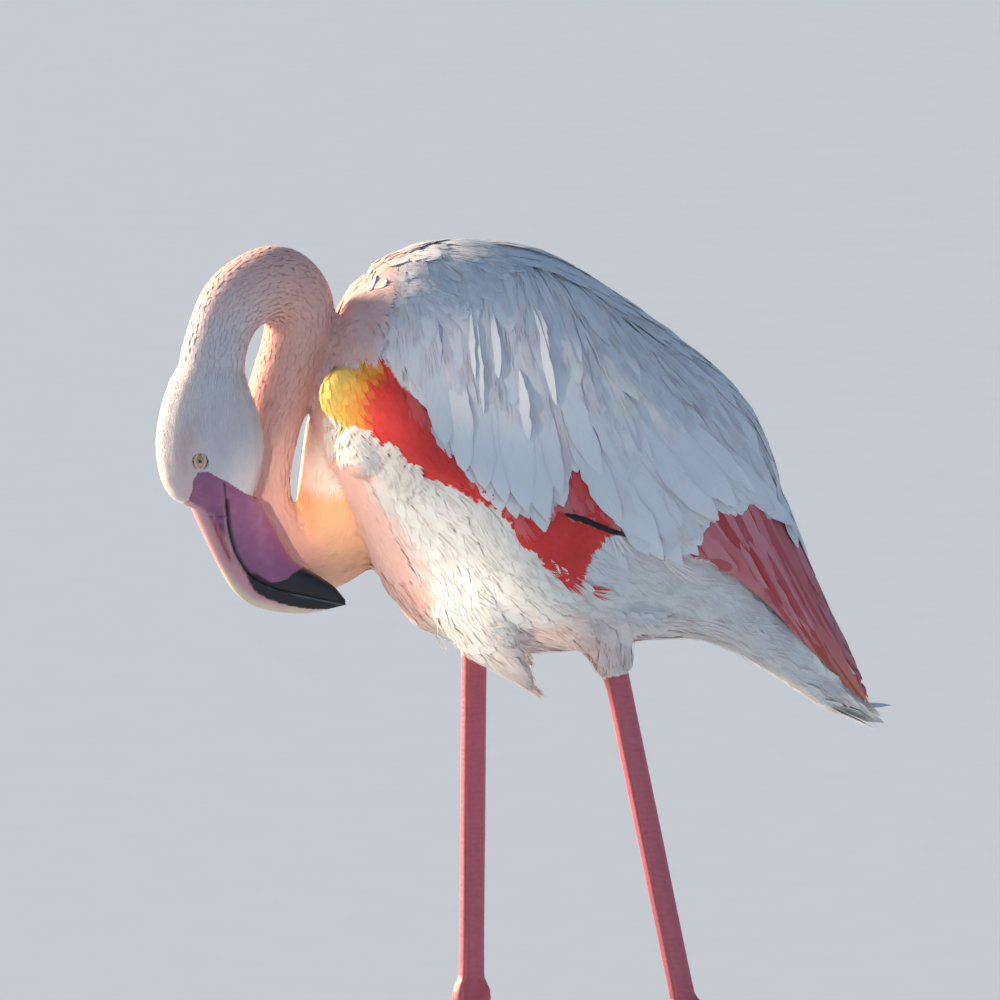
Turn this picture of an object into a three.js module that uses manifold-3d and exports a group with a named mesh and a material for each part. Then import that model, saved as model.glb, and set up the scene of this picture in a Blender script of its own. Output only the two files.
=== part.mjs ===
// A greater flamingo, life size, standing on two long legs and bending its neck to preen.
// Millimetres, +Z up. The bird looks along -X, its left side faces -Y, and it stands on z = 0.
// The solids give the outline of the plumage. They meet face to face with a gap of SEAM.

import * as THREE from "three";
import Module from "manifold-3d";
import { mergeVertices } from "three/addons/utils/BufferGeometryUtils.js";

const wasm = await Module();
wasm.setup();

const SEAM = 0.35; // gap left between touching pieces
const FLOOR_DEPTH = 40; // how deep the block below the floor is that flattens the soles

// ---------------------------------------------------------------- driving sizes

// Stations of the trunk from breast to vent. Each names a point on the ridge of the back and one on
// the keel of the belly, as [x, z] in the middle plane, the half width of the section between them,
// and how far up from the belly to the back it is widest.
const BREAST_STATIONS = [
  { back: [-142, 760], belly: [-142, 745], half: 8, waist: 0.5 },
  { back: [-138, 786], belly: [-136, 731], half: 33, waist: 0.5 },
  { back: [-130, 811], belly: [-125, 706], half: 50, waist: 0.5 },
  { back: [-119, 841], belly: [-110, 675], half: 61, waist: 0.52 },
  { back: [-97, 860], belly: [-93, 638], half: 69, waist: 0.53 },
  { back: [-62, 868], belly: [-66, 605], half: 76, waist: 0.52 },
  { back: [-20, 870], belly: [-28, 591], half: 80, waist: 0.5 },
  { back: [22, 860], belly: [18, 588], half: 80, waist: 0.5 },
];
const TRUNK_STATIONS = [
  ...BREAST_STATIONS,
  { back: [56, 832], belly: [58, 593], half: 76, waist: 0.48 },
  { back: [92, 782], belly: [96, 598], half: 65, waist: 0.46 },
  { back: [124, 724], belly: [130, 599], half: 51, waist: 0.45 },
  { back: [156, 670], belly: [160, 588], half: 39, waist: 0.45 },
  { back: [188, 625], belly: [190, 568], half: 29, waist: 0.45 },
  { back: [213, 589], belly: [215, 553], half: 21, waist: 0.45 },
  { back: [229, 561], belly: [230, 545], half: 10, waist: 0.45 },
];
// The mass that the folded wings make over the rump, measured as the trunk is.
const WING_STATIONS = [
  ...BREAST_STATIONS,
  { back: [58, 839], belly: [60, 600], half: 79, waist: 0.48 },
  { back: [96, 812], belly: [96, 610], half: 75, waist: 0.44 },
  { back: [130, 786], belly: [126, 620], half: 66, waist: 0.38 },
  { back: [161, 753], belly: [150, 622], half: 54, waist: 0.36 },
  { back: [186, 706], belly: [170, 612], half: 43, waist: 0.38 },
  { back: [205, 660], belly: [190, 596], half: 34, waist: 0.42 },
  { back: [222, 620], belly: [210, 578], half: 26, waist: 0.45 },
  { back: [240, 582], belly: [231, 560], half: 18, waist: 0.5 },
  { back: [251, 554], belly: [246, 546], half: 10, waist: 0.5 },
];
const TRUNK_RINGS = 18;
const TRUNK_SIDES = 22;
const TRUNK_SQUARENESS = 2.2; // exponent of the superellipse of a body section

// The neck's middle line, from inside the shoulders, down in front of the breast, round the
// low bend, up beside the breast, over the high arch and down to the head.
const NECK_STATIONS = [
  { at: [-84, 0, 800], r: 38 },
  { at: [-97, 1, 766], r: 42 },
  { at: [-105, 3, 735], r: 42 },
  { at: [-111, 4, 706], r: 40 },
  { at: [-121, 5, 678], r: 36 },
  { at: [-140, 1, 660], r: 30 },
  { at: [-160, -6, 660], r: 26 },
  { at: [-174, -12, 680], r: 23.5 },
  { at: [-178, -15, 708], r: 21.5 },
  { at: [-173, -17, 742], r: 21.5 },
  { at: [-163, -20, 778], r: 22 },
  { at: [-152, -25, 812], r: 23 },
  { at: [-150, -31, 838], r: 24.5 },
  { at: [-164, -40, 854], r: 26 },
  { at: [-182, -47, 850], r: 25 },
  { at: [-196, -53, 839], r: 23.5 },
  { at: [-205, -58, 820], r: 22 },
  { at: [-210, -61, 800], r: 23 },
];
const NECK_CUTS = [0, 0.3, 0.5, 0.72, 1]; // where the neck is parted into its lengths
const NECK_RINGS = 8;
const NECK_SIDES = 16;

// The head hangs to the left of the neck. Its axis runs from the nape to the base of the bill.
const HEAD_Y = -62;
const HEAD_STATIONS = [
  { x: -209, z: 796, crown: 24.5, throat: 23, half: 22.5 },
  { x: -211, z: 777, crown: 32, throat: 31, half: 23.5 },
  { x: -211, z: 756, crown: 37.5, throat: 36.5, half: 24 },
  { x: -209.5, z: 738, crown: 39.5, throat: 37, half: 23.5 },
  { x: -206, z: 721, crown: 38, throat: 33, half: 20.5 },
  { x: -202, z: 709, crown: 28, throat: 27, half: 16.5 },
  { x: -199, z: 700, crown: 17, throat: 19, half: 12 },
];
const HEAD_RINGS = 11;
const HEAD_SIDES = 18;
const EYE = { x: -217, z: 735, r: 5.6, depth: 18.4 }; // depth: how far out from the head's middle

// Profile of the bill: the ridge above, the line of the mouth and the keel below.
const CULMEN = [
  [-226, 702],
  [-217, 682],
  [-206.5, 660],
  [-196, 642],
  [-182.5, 631],
  [-163, 626],
  [-142, 625.5],
  [-117, 631],
];
const MOUTH = [
  [-201, 719],
  [-199.5, 703],
  [-198, 686],
  [-193.5, 669],
  [-184, 655],
  [-170, 646],
  [-149, 639.5],
  [-117.5, 632],
];
const KEEL = [
  [-177, 712],
  [-172, 698],
  [-166, 684],
  [-160, 672],
  [-151, 661],
  [-138, 650.5],
  [-127, 642],
  [-118, 633],
];
const UPPER_HALF = [10, 11, 10.5, 10, 9.5, 8.5, 6, 1.2];
const LOWER_HALF = [12, 13.5, 14.5, 15, 14, 11.5, 7.5, 1.4];
const BILL_RINGS = 12;
const BILL_ARC = 8;

// The folded forewing, from the wrist back along the flank. Mirrored on the right side.
const FOREWING_STATIONS = [
  { at: [-134, -50, 777], tall: 5, thick: 5 },
  { at: [-129, -52, 777], tall: 17, thick: 13 },
  { at: [-113, -57, 776], tall: 24, thick: 17 },
  { at: [-88, -64, 767], tall: 27, thick: 17 },
  { at: [-60, -70, 749], tall: 22, thick: 15 },
  { at: [-34, -75, 727], tall: 15, thick: 11 },
  { at: [-6, -78, 707], tall: 8, thick: 7 },
  { at: [20, -79, 696], tall: 4, thick: 4 },
];
const FOREWING_RINGS = 10;
const FOREWING_SIDES = 10;

// Hems in profile as [x, z]: of the long white shoulder feathers, of the red coverts that hang
// below them on the flank, and of the folded wing over the rump.
const CAPE_HEM = [
  [-100, 846],
  [-97, 815],
  [-90, 804],
  [-79, 787],
  [-57, 774],
  [-47, 748],
  [-24, 718],
  [6, 699],
  [24, 692],
  [38, 712],
  [58, 712],
  [88, 680],
  [106, 666],
  [128, 667],
  [138, 692],
  [160, 699],
  [196, 706],
];
const COVERT_HEM = [
  [-14, 708],
  [-3, 693],
  [8, 676],
  [22, 661],
  [48, 640],
  [53, 652],
  [62, 674],
  [80, 684],
];
const WING_HEM = [
  [60, 683],
  [130, 662],
  [158, 649],
  [193, 616],
  [221, 580],
  [242, 557],
  [254, 546],
];
// Reach of each layer along the back, and its height above the surface it lies on.
const CAPE = { from: -99, to: 183, height: 10, rim: 4.5, cover: 40, tip: 0.12, tips: 9, rows: 5 };
const COVERT = { from: -16, to: 76, height: 5.5, rim: 2, columns: 12, rows: 3 };
const WING = { from: 84, to: 249, depth: 22, tipDepth: 5, columns: 13, rows: 5 };
const BEDDING = 4; // how far a layer is sunk into its base before the base is cut away from it

// The blade of the tail under the folded wings, from the rump to its tip.
const TAIL_STATIONS = [
  { at: [150, 0, 652], tall: 9, thick: 22 },
  { at: [176, 0, 622], tall: 9, thick: 26 },
  { at: [206, 0, 589], tall: 7, thick: 27 },
  { at: [230, 0, 563], tall: 5, thick: 24 },
  { at: [243, 0, 549], tall: 2.5, thick: 15 },
];

// Drooping tuft of breast feathers on each flank.
const PLUME_STATIONS = [
  { at: [-44, -52, 636], tall: 24, thick: 20 },
  { at: [-22, -56, 612], tall: 22, thick: 16 },
  { at: [-2, -56, 590], tall: 13, thick: 9 },
  { at: [14, -54, 570], tall: 2, thick: 2 },
];

// Each leg: where the bare shank leaves the thigh feathers, the ankle and the foot joint.
const LEGS = [
  {
    name: "left",
    side: -1,
    hip: [56, -30, 655],
    knee: [71.5, -36, 578],
    ankle: [121.5, -38, 334],
    foot: [114, -40, 15],
  },
  {
    name: "right",
    side: 1,
    hip: [-20, 32, 655],
    knee: [-28, 36, 582],
    ankle: [-30, 38, 334],
    foot: [-37, 42, 15],
  },
];
const SHANK_R = 8.8;
const ANKLE = { length: 34, wide: 11.5, deep: 13.5 };
const TARSUS = { wide: 6.2, deep: 7.6 };
// Half sizes of a feathered thigh, sideways and fore and aft, from the body down to the knee.
const THIGH_SIZES = [
  [24, 40],
  [21, 33],
  [15, 22],
  [10, 11.5],
];
const TOES = [
  { name: "inner", turn: 33, length: 66, r: 5 },
  { name: "middle", turn: 0, length: 84, r: 5.4 },
  { name: "outer", turn: -30, length: 78, r: 5 },
];
const TOE_HEIGHT = 4.2; // height of a toe's middle line above the floor
const FOOT_SPLAY = 6; // degrees that each foot turns outwards
const TOE_TAPER = [1.5, 1.25, 1, 0.9, 0.62]; // thickness of a toe from its root to its claw
const FOOT_CUT = 12; // half size of the block that parts the foot from the tarsus
const WEB_THICK = 2.2;
const WEB_REACH = 0.88; // how far along the toes the webs reach
const HEEL = 4; // how far behind the foot joint the webs begin
const HIND_TOE = { length: 13, r: 2.8, rise: 6 };
const CLAW = { length: 8, r: 2.4 };
const LEG_SIDES = 10;
const TOE_SIDES = 8;
const CLAW_SIDES = 6;

// ---------------------------------------------------------------- materials

const paint = (color, roughness) => new THREE.MeshStandardMaterial({ color, roughness, metalness: 0 });
const MATERIALS = {
  plumage: paint(0xf6ece8, 0.85),
  neck: paint(0xefc2b4, 0.85),
  cape: paint(0xe9e6ee, 0.8),
  crimson: paint(0xc8352f, 0.75),
  rose: paint(0xd9828c, 0.75),
  bill: paint(0x9c5480, 0.4),
  leg: paint(0xc4566a, 0.5),
  horn: paint(0x2b2426, 0.4),
  eye: paint(0xe8d9a0, 0.1),
};

// ---------------------------------------------------------------- shape helpers

const v3 = (p) => new THREE.Vector3(...p);
const curve = (points) => new THREE.CatmullRomCurve3(points.map(v3), false, "catmullrom", 0.5);
const steps = (count) => Array.from({ length: count }, (_, i) => i / (count - 1));
const lerp = THREE.MathUtils.lerp;

// Values of several named fields of a list of stations, smoothly interpolated at t from 0 to 1.
function field(stations, ...names) {
  const line = curve(stations.map((s) => [0, 1, 2].map((i) => (names[i] ? s[names[i]] : 0))));
  return (t) => line.getPoint(t).toArray();
}

// A closed solid through rings of equal length, its ends closed by fans.
function loft(rings) {
  const sides = rings[0].length;
  const points = rings.flat();
  const index = [];
  for (let ring = 0; ring + 1 < rings.length; ring++)
    for (let side = 0; side < sides; side++) {
      const a = ring * sides + side;
      const b = ring * sides + ((side + 1) % sides);
      index.push(a, b, b + sides, a, b + sides, a + sides);
    }
  for (const [ring, turned] of [[0, true], [rings.length - 1, false]]) {
    const middle = new THREE.Vector3();
    rings[ring].forEach((p) => middle.addScaledVector(p, 1 / sides));
    points.push(middle);
    for (let side = 0; side < sides; side++) {
      const a = ring * sides + side;
      const b = ring * sides + ((side + 1) % sides);
      index.push(points.length - 1, ...(turned ? [b, a] : [a, b]));
    }
  }
  const geometry = new THREE.BufferGeometry().setFromPoints(points);
  geometry.setIndex(index);
  return solidOf(geometry);
}

// A three.js geometry as a solid for cutting and joining.
function solidOf(geometry) {
  geometry.deleteAttribute("normal");
  geometry.deleteAttribute("uv");
  const merged = mergeVertices(geometry, 1e-4);
  const make = (triVerts) =>
    new wasm.Manifold(
      new wasm.Mesh({ numProp: 3, vertProperties: merged.attributes.position.array, triVerts }),
    );
  const triVerts = new Uint32Array(merged.index.array);
  const made = make(triVerts);
  return made.volume() > 0 ? made : make(triVerts.reverse());
}

// A tube whose section has a half size along "across" and another along the normal to it.
function tube({ path, sizes, across, rings, sides, from = 0, to = 1, grow = 0, round = 2 }) {
  return loft(
    steps(rings).map((u) => {
      const t = lerp(from, to, u);
      const forward = path.getTangent(t);
      const wide = across.clone().addScaledVector(forward, -across.dot(forward)).normalize();
      const tall = new THREE.Vector3().crossVectors(wide, forward);
      const [a, b] = sizes(t).map((size) => Math.max(size + grow, 0.3));
      return Array.from({ length: sides }, (_, side) => {
        const [c, s] = roundedSquare((2 * Math.PI * side) / sides, round);
        return path.getPoint(t).addScaledVector(wide, a * c).addScaledVector(tall, b * s);
      });
    }),
  );
}

// A unit superellipse at an angle: round 2 is a circle, more is squarer.
function roundedSquare(angle, round) {
  const bulge = (value) => Math.sign(value) * Math.abs(value) ** (2 / round);
  return [bulge(Math.cos(angle)), bulge(Math.sin(angle))];
}

const ACROSS_Y = new THREE.Vector3(0, 1, 0);

// A blade or limb from stations that name a half height and a half thickness sideways.
function bladeFrom(stations, side, rings, sides, grow = 0) {
  const mirrored = stations.map((s) => ({ ...s, at: [s.at[0], -s.at[1] * side, s.at[2]] }));
  return tube({
    path: curve(mirrored.map((s) => s.at)),
    sizes: field(mirrored, "thick", "tall"),
    across: ACROSS_Y,
    rings,
    sides,
    grow,
  });
}

// ---------------------------------------------------------------- trunk

// The surface through a list of body stations, as a function of t along the body, of an angle that is
// 0 on the bird's right side and a quarter turn on the back's ridge, and of a lift off the surface.
function bodySurface(stations) {
  const back = curve(stations.map((s) => [s.back[0], 0, s.back[1]]));
  const belly = curve(stations.map((s) => [s.belly[0], 0, s.belly[1]]));
  const girth = field(stations, "half", "waist");
  const bare = (t, angle) => {
    const [half, waist] = girth(t);
    const [top, bottom] = [back.getPoint(t), belly.getPoint(t)];
    const [c, s] = roundedSquare(angle, TRUNK_SQUARENESS);
    const point = bottom.clone().lerp(top, waist).lerp(s > 0 ? top : bottom, Math.abs(s));
    return point.setY(half * c);
  };
  return (t, angle, lift = 0) => {
    const step = 1e-3;
    const along = bare(Math.min(t + step, 1), angle).sub(bare(Math.max(t - step, 0), angle));
    const around = bare(t, angle + step).sub(bare(t, angle - step));
    return bare(t, angle).addScaledVector(around.cross(along).normalize(), lift);
  };
}

const trunkSurface = bodySurface(TRUNK_STATIONS);
const wingSurface = bodySurface(WING_STATIONS);

const trunkRing = (t, grow) =>
  Array.from({ length: TRUNK_SIDES }, (_, side) => trunkSurface(t, (2 * Math.PI * side) / TRUNK_SIDES, grow));
const trunkBody = (grow) => loft(steps(TRUNK_RINGS).map((t) => trunkRing(t, grow)));
const plume = (side, grow) => bladeFrom(PLUME_STATIONS, side, 6, 8, grow);
const trunkWithPlumes = (grow = 0) => trunkBody(grow).add(plume(-1, grow)).add(plume(1, grow));

// ---------------------------------------------------------------- neck and head

const neckPath = curve(NECK_STATIONS.map((s) => s.at));
const neckRadius = field(NECK_STATIONS, "r");

function neckLength(from, to, grow = 0) {
  return tube({
    path: neckPath,
    sizes: (t) => [neckRadius(t)[0], neckRadius(t)[0]],
    across: ACROSS_Y,
    rings: NECK_RINGS,
    sides: NECK_SIDES,
    from,
    to,
    grow,
  });
}

const headPath = curve(HEAD_STATIONS.map((s) => [s.x, HEAD_Y, s.z]));
const headSize = field(HEAD_STATIONS, "crown", "throat", "half");

function headBody(grow = 0) {
  return loft(
    steps(HEAD_RINGS).map((t) => {
      const forward = headPath.getTangent(t);
      const crownward = new THREE.Vector3(forward.z, 0, -forward.x);
      const [crown, throat, half] = headSize(t);
      return Array.from({ length: HEAD_SIDES }, (_, side) => {
        const [c, s] = roundedSquare((2 * Math.PI * side) / HEAD_SIDES, 2);
        return headPath
          .getPoint(t)
          .add(new THREE.Vector3(0, (half + grow) * c, 0))
          .addScaledVector(crownward, s * ((s > 0 ? crown : throat) + grow));
      });
    }),
  );
}

function eyeball(side, grow = 0) {
  const ball = new THREE.SphereGeometry(EYE.r + grow, 10, 7);
  ball.translate(EYE.x, HEAD_Y + side * EYE.depth, EYE.z);
  return solidOf(ball);
}

// ---------------------------------------------------------------- bill

const profile = (points) => curve(points.map(([x, z]) => [x, HEAD_Y, z]));
const valueAlong = (values) => field(values.map((value) => ({ value })), "value");

// One half of the bill: a rounded shell from the mouth's line out to its ridge or keel.
function billHalf(edge, halves, gap) {
  const mouth = profile(MOUTH);
  const ridge = profile(edge);
  const halfAt = valueAlong(halves);
  return loft(
    steps(BILL_RINGS).map((t) => {
      const base = mouth.getPoint(t);
      const out = ridge.getPoint(t).sub(base);
      base.addScaledVector(out.clone().normalize(), gap);
      const [half] = halfAt(t);
      const arc = steps(BILL_ARC).map((u) => {
        const [c, s] = roundedSquare(Math.PI * u, 2.3);
        return base.clone().addScaledVector(out, s).add(new THREE.Vector3(0, half * c, 0));
      });
      const inner = [-0.4, 0.4].map((k) => base.clone().add(new THREE.Vector3(0, half * k, 0)));
      return [...arc, ...inner];
    }),
  );
}

// ---------------------------------------------------------------- wings

// Height of a hem drawn in profile, above x.
function hemHeight(hem, x) {
  const next = Math.max(1, hem.findIndex(([hx]) => hx >= x));
  const i = x > hem[hem.length - 1][0] ? hem.length - 1 : next;
  const [[x0, z0], [x1, z1]] = [hem[i - 1], hem[i]];
  return lerp(z0, z1, THREE.MathUtils.clamp((x - x0) / (x1 - x0), 0, 1));
}

// How far along the wing surface its ridge reaches a given x.
const alongRidge = (x) => steps(400).find((t) => wingSurface(t, Math.PI / 2).x >= x) ?? 1;

// The angle down from the ridge at which the left side of the wing surface meets a hem.
function hemAngle(hem, t, lift) {
  const search = steps(160).map((u) => u * Math.PI * 0.86);
  const belowHem = (down) => {
    const p = wingSurface(t, Math.PI / 2 + down, lift);
    return p.z < hemHeight(hem, p.x);
  };
  return search.find(belowHem) ?? search[search.length - 1];
}

// A layer of plumage on the wing surface. Along it runs u, and across it, from start to end, v.
function layer({ side, from, to, start, end, under, over, columns, rows }) {
  const [first, last] = [alongRidge(from), alongRidge(to)];
  return loft(
    steps(columns).map((u) => {
      const t = lerp(first, last, u);
      const high = start(t, u);
      const low = Math.max(end(t, u), high + 0.03);
      const at = (v, lift) => wingSurface(t, Math.PI / 2 - side * lerp(high, low, v), lift);
      const outside = steps(rows).map((v) => at(v, over(u, v)));
      const inside = steps(rows).map((v) => at(1 - v, -under(u)));
      return [...outside, ...inside];
    }),
  );
}

const PARTING = 0.006; // half the angle between the left and the right layers on the ridge

// The shoulder feathers: a cape whose hem runs out in pointed tips. A cover is the same cape made
// thick and a little wider, to cut what lies under it.
function cape(side, cover = false) {
  const tooth = (u) => Math.abs(((u * CAPE.tips) % 1) * 2 - 1) - 0.5; // in and out once for each tip
  const fade = (u) => Math.min(1, 0.3 + 5 * u, 0.3 + 5 * (1 - u)); // thinner at both ends
  const margin = cover ? PARTING : 0;
  return layer({
    ...CAPE,
    side,
    from: CAPE.from - SEAM * (cover ? 2 : 0),
    columns: CAPE.tips * 2 + 1,
    start: () => PARTING - margin,
    end: (t, u) => hemAngle(CAPE_HEM, t, CAPE.height) + tooth(u) * CAPE.tip + margin * 4,
    under: () => BEDDING,
    over: (u, v) => (cover ? CAPE.cover : fade(u) * lerp(CAPE.height, CAPE.rim, v ** 3)),
  });
}

// The crimson coverts that hang below the cape on the flank.
function coverts(side) {
  return layer({
    ...COVERT,
    side,
    start: (t) => hemAngle(CAPE_HEM, t, CAPE.height) - 0.1,
    end: (t) => hemAngle(COVERT_HEM, t, COVERT.height),
    under: () => BEDDING,
    over: (u, v) => lerp(COVERT.height, COVERT.rim, v ** 3),
  });
}

// The folded flight feathers over the rump, down to the tip of the wing.
function flight(side, grow = 0) {
  const margin = grow / 60; // an angle that widens the layer by about as much as it grows
  return layer({
    ...WING,
    side,
    from: WING.from - 2 * grow,
    start: () => PARTING - margin,
    end: (t) => hemAngle(WING_HEM, t, 0) + margin,
    under: (u) => lerp(WING.depth, WING.tipDepth, u ** 0.7) + grow,
    over: () => grow,
  });
}

const forewing = (side, grow = 0) => bladeFrom(FOREWING_STATIONS, side, FOREWING_RINGS, FOREWING_SIDES, grow);
const tailBlade = (grow = 0) => bladeFrom(TAIL_STATIONS, -1, 6, 10, grow);

// ---------------------------------------------------------------- legs and feet

// A round limb along points with a [sideways, fore and aft] half size at each.
function limb(points, sizes, rings, sides = LEG_SIDES) {
  const sized = field(sizes.map(([wide, deep]) => ({ wide, deep })), "wide", "deep");
  return tube({ path: curve(points), sizes: sized, across: ACROSS_Y, rings, sides });
}

const between = (a, b, t) => a.map((value, i) => lerp(value, b[i], t));
const lengthOf = (a, b) => v3(a).distanceTo(v3(b));

// Where the swelling of the ankle starts above and ends below the joint.
function ankleEnds({ knee, ankle, foot }) {
  return {
    top: between(ankle, knee, ANKLE.length / 2 / lengthOf(ankle, knee)),
    bottom: between(ankle, foot, ANKLE.length / 2 / lengthOf(ankle, foot)),
  };
}

// The point at a distance from a on the way to b.
const inset = (a, b, distance) => between(a, b, distance / lengthOf(a, b));

function shank(leg, grow = 0) {
  const { top } = ankleEnds(leg);
  const size = [SHANK_R + grow, SHANK_R + grow];
  return limb([inset(top, leg.knee, SEAM - grow), inset(leg.knee, top, SEAM - grow)], [size, size], 2);
}

const ankleJoint = (leg) => {
  const { top, bottom } = ankleEnds(leg);
  const { wide, deep } = ANKLE;
  const sizes = [
    [SHANK_R, SHANK_R],
    [wide * 0.93, deep * 0.95],
    [wide, deep],
    [wide * 0.86, deep * 0.9],
    [TARSUS.wide + 1, TARSUS.deep + 1],
  ];
  const points = [top, between(top, leg.ankle, 0.5), leg.ankle, between(leg.ankle, bottom, 0.5), bottom];
  return limb(points, sizes, 7);
};

const tarsus = (leg) => {
  const { bottom } = ankleEnds(leg);
  const { wide, deep } = TARSUS;
  const sizes = [
    [wide + 1, deep + 1],
    [wide, deep],
    [wide + 0.8, deep + 0.6],
    [wide + 1.6, deep + 1.4],
  ];
  const [half, low] = [0.5, 0.9].map((t) => between(bottom, leg.foot, t));
  return limb([inset(bottom, leg.foot, SEAM), half, low, leg.foot], sizes, 6);
};

function thigh(leg) {
  const points = steps(THIGH_SIZES.length).map((t) => between(leg.hip, leg.knee, t));
  return limb(points, THIGH_SIZES, 7).subtract(shank(leg, SEAM));
}

// Heading of a toe on the floor, and a point along it.
function toeLine(leg, toe) {
  const turn = THREE.MathUtils.degToRad(-leg.side * (FOOT_SPLAY + toe.turn));
  const [x, y] = [leg.foot[0] - 2, leg.foot[1]];
  return (distance, height) => [x - distance * Math.cos(turn), y + distance * Math.sin(turn), height];
}

function toe(leg, spec) {
  const along = toeLine(leg, spec);
  const points = [0, 0.15, 0.4, 0.7, 1].map((t) => along(t * spec.length, TOE_HEIGHT));
  points[0][2] = leg.foot[2] - 4;
  points[1][2] = TOE_HEIGHT + 3;
  const sizes = TOE_TAPER.map((k) => [spec.r * k, spec.r * k * 0.95]);
  return limb(points, sizes, TOE_TAPER.length, TOE_SIDES);
}

// The web between two toes, a thin plate with a hollowed front edge.
function web(leg, a, b) {
  const [lineA, lineB] = [toeLine(leg, a), toeLine(leg, b)];
  const tipA = lineA(a.length * WEB_REACH, 0);
  const tipB = lineB(b.length * WEB_REACH, 0);
  const heel = lineA(-HEEL, 0);
  const dip = between(between(tipA, tipB, 0.5), heel, 0.2);
  const outline = new THREE.Shape();
  outline.moveTo(heel[0], heel[1]);
  outline.lineTo(tipA[0], tipA[1]);
  outline.quadraticCurveTo(dip[0], dip[1], tipB[0], tipB[1]);
  const plate = { depth: WEB_THICK, bevelEnabled: false, curveSegments: 4 };
  return solidOf(new THREE.ExtrudeGeometry(outline, plate));
}

function claw(leg, spec) {
  const along = toeLine(leg, spec);
  const points = [0, 0.5, 1].map((t) => along(spec.length + SEAM * 2 + t * CLAW.length, TOE_HEIGHT - t * 2.2));
  const sizes = [1, 0.75, 0.25].map((k) => [CLAW.r * k, CLAW.r * k]);
  return limb(points, sizes, 4, CLAW_SIDES);
}

function hindToe(leg) {
  const start = [leg.foot[0], leg.foot[1], leg.foot[2] + 2];
  const end = [leg.foot[0] + HIND_TOE.length + TARSUS.deep, leg.foot[1] - leg.side * 5, HIND_TOE.rise];
  const sizes = [1.4, 1, 0.4].map((k) => [HIND_TOE.r * k, HIND_TOE.r * k]);
  return limb([start, between(start, end, 0.6), end], sizes, 4, CLAW_SIDES);
}

const belowFloor = solidOf(new THREE.BoxGeometry(900, 900, FLOOR_DEPTH).translate(0, 0, -FLOOR_DEPTH / 2));

function footSolid(leg) {
  const [inner, middle, outer] = TOES;
  const toes = TOES.map((spec) => toe(leg, spec));
  const pieces = [...toes, web(leg, inner, middle), web(leg, middle, outer), hindToe(leg)];
  return pieces.reduce((joined, piece) => joined.add(piece)).subtract(belowFloor);
}

// ---------------------------------------------------------------- the bird

const flamingo = new THREE.Group();

// Adds a solid as a named mesh, without the crumbs that a cut may leave beside it.
function place(name, solid, material) {
  const body = solid.decompose().reduce((a, b) => (a.volume() > b.volume() ? a : b));
  const { numProp, vertProperties, triVerts } = body.getMesh();
  const corners = Array.from({ length: vertProperties.length / numProp }, (_, i) =>
    new THREE.Vector3(...vertProperties.subarray(i * numProp, i * numProp + 3)),
  );
  const geometry = new THREE.BufferGeometry().setFromPoints(corners);
  geometry.setIndex(new THREE.BufferAttribute(triVerts, 1));
  geometry.computeVertexNormals();
  const mesh = new THREE.Mesh(geometry, MATERIALS[material].clone());
  mesh.name = name;
  flamingo.add(mesh);
}

const trunkGrown = trunkWithPlumes(SEAM);
place("trunk", trunkWithPlumes(), "plumage");
for (const leg of LEGS) place(`thigh_${leg.name}`, thigh(leg).subtract(trunkGrown), "plumage");

const headGrown = headBody(SEAM);
const rootGrown = neckLength(0, NECK_CUTS[1], SEAM);
const forewingsGrown = forewing(-1, SEAM).add(forewing(1, SEAM));
const neckSeam = SEAM / neckPath.getLength();
NECK_CUTS.slice(1).forEach((end, i) => {
  const start = NECK_CUTS[i];
  let piece = neckLength(start + (i ? neckSeam : 0), end).subtract(trunkGrown).subtract(forewingsGrown);
  if (i > 0) piece = piece.subtract(rootGrown).subtract(neckLength(NECK_CUTS[i - 1], start + neckSeam, SEAM));
  if (i === NECK_CUTS.length - 2) piece = piece.subtract(headGrown);
  place(`neck_${i + 1}`, piece, "neck");
});

place("head", headBody().subtract(eyeball(-1, SEAM)).subtract(eyeball(1, SEAM)), "neck");
place("bill_upper", billHalf(CULMEN, UPPER_HALF, SEAM / 2).subtract(headGrown), "bill");
place("bill_lower", billHalf(KEEL, LOWER_HALF, SEAM / 2).subtract(headGrown), "bill");

const tailGrown = tailBlade(SEAM);
place("tail", tailBlade().subtract(trunkGrown), "rose");
for (const [name, side] of [["left", -1], ["right", 1]]) {
  place(`eye_${name}`, eyeball(side), "eye");
  const capeCover = cape(side, true);
  const wing = flight(side).subtract(trunkGrown).subtract(tailGrown);
  const shoulder = cape(side).subtract(trunkGrown).subtract(flight(side, SEAM));
  const arm = forewing(side).subtract(trunkGrown).subtract(capeCover);
  const red = coverts(side).subtract(trunkGrown).subtract(capeCover).subtract(forewing(side, SEAM));
  place(`forewing_${name}`, arm, "crimson");
  place(`flight_${name}`, wing, "rose");
  place(`scapulars_${name}`, shoulder, "cape");
  place(`coverts_${name}`, red, "crimson");
}

for (const leg of LEGS) {
  const cut = [FOOT_CUT, FOOT_CUT];
  const aboveFoot = limb([leg.foot, between(leg.foot, leg.ankle, 0.2)], [cut, cut], 3);
  place(`shank_${leg.name}`, shank(leg), "leg");
  place(`ankle_${leg.name}`, ankleJoint(leg), "leg");
  place(`tarsus_${leg.name}`, tarsus(leg), "leg");
  place(`foot_${leg.name}`, footSolid(leg).subtract(aboveFoot), "leg");
  for (const spec of TOES)
    place(`claw_${leg.name}_${spec.name}`, claw(leg, spec).subtract(belowFloor), "horn");
}

// The origin goes onto the floor, under the middle of the bird's outline.
const outline = new THREE.Box3().setFromObject(flamingo);
const middle = outline.getCenter(new THREE.Vector3());
flamingo.position.set(-middle.x, -middle.y, -outline.min.z);

export default flamingo;
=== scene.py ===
"""A standing flamingo: skin, plumage, bill, eyes, legs and a plain stage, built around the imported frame."""
import contextlib
import functools
import math

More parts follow.
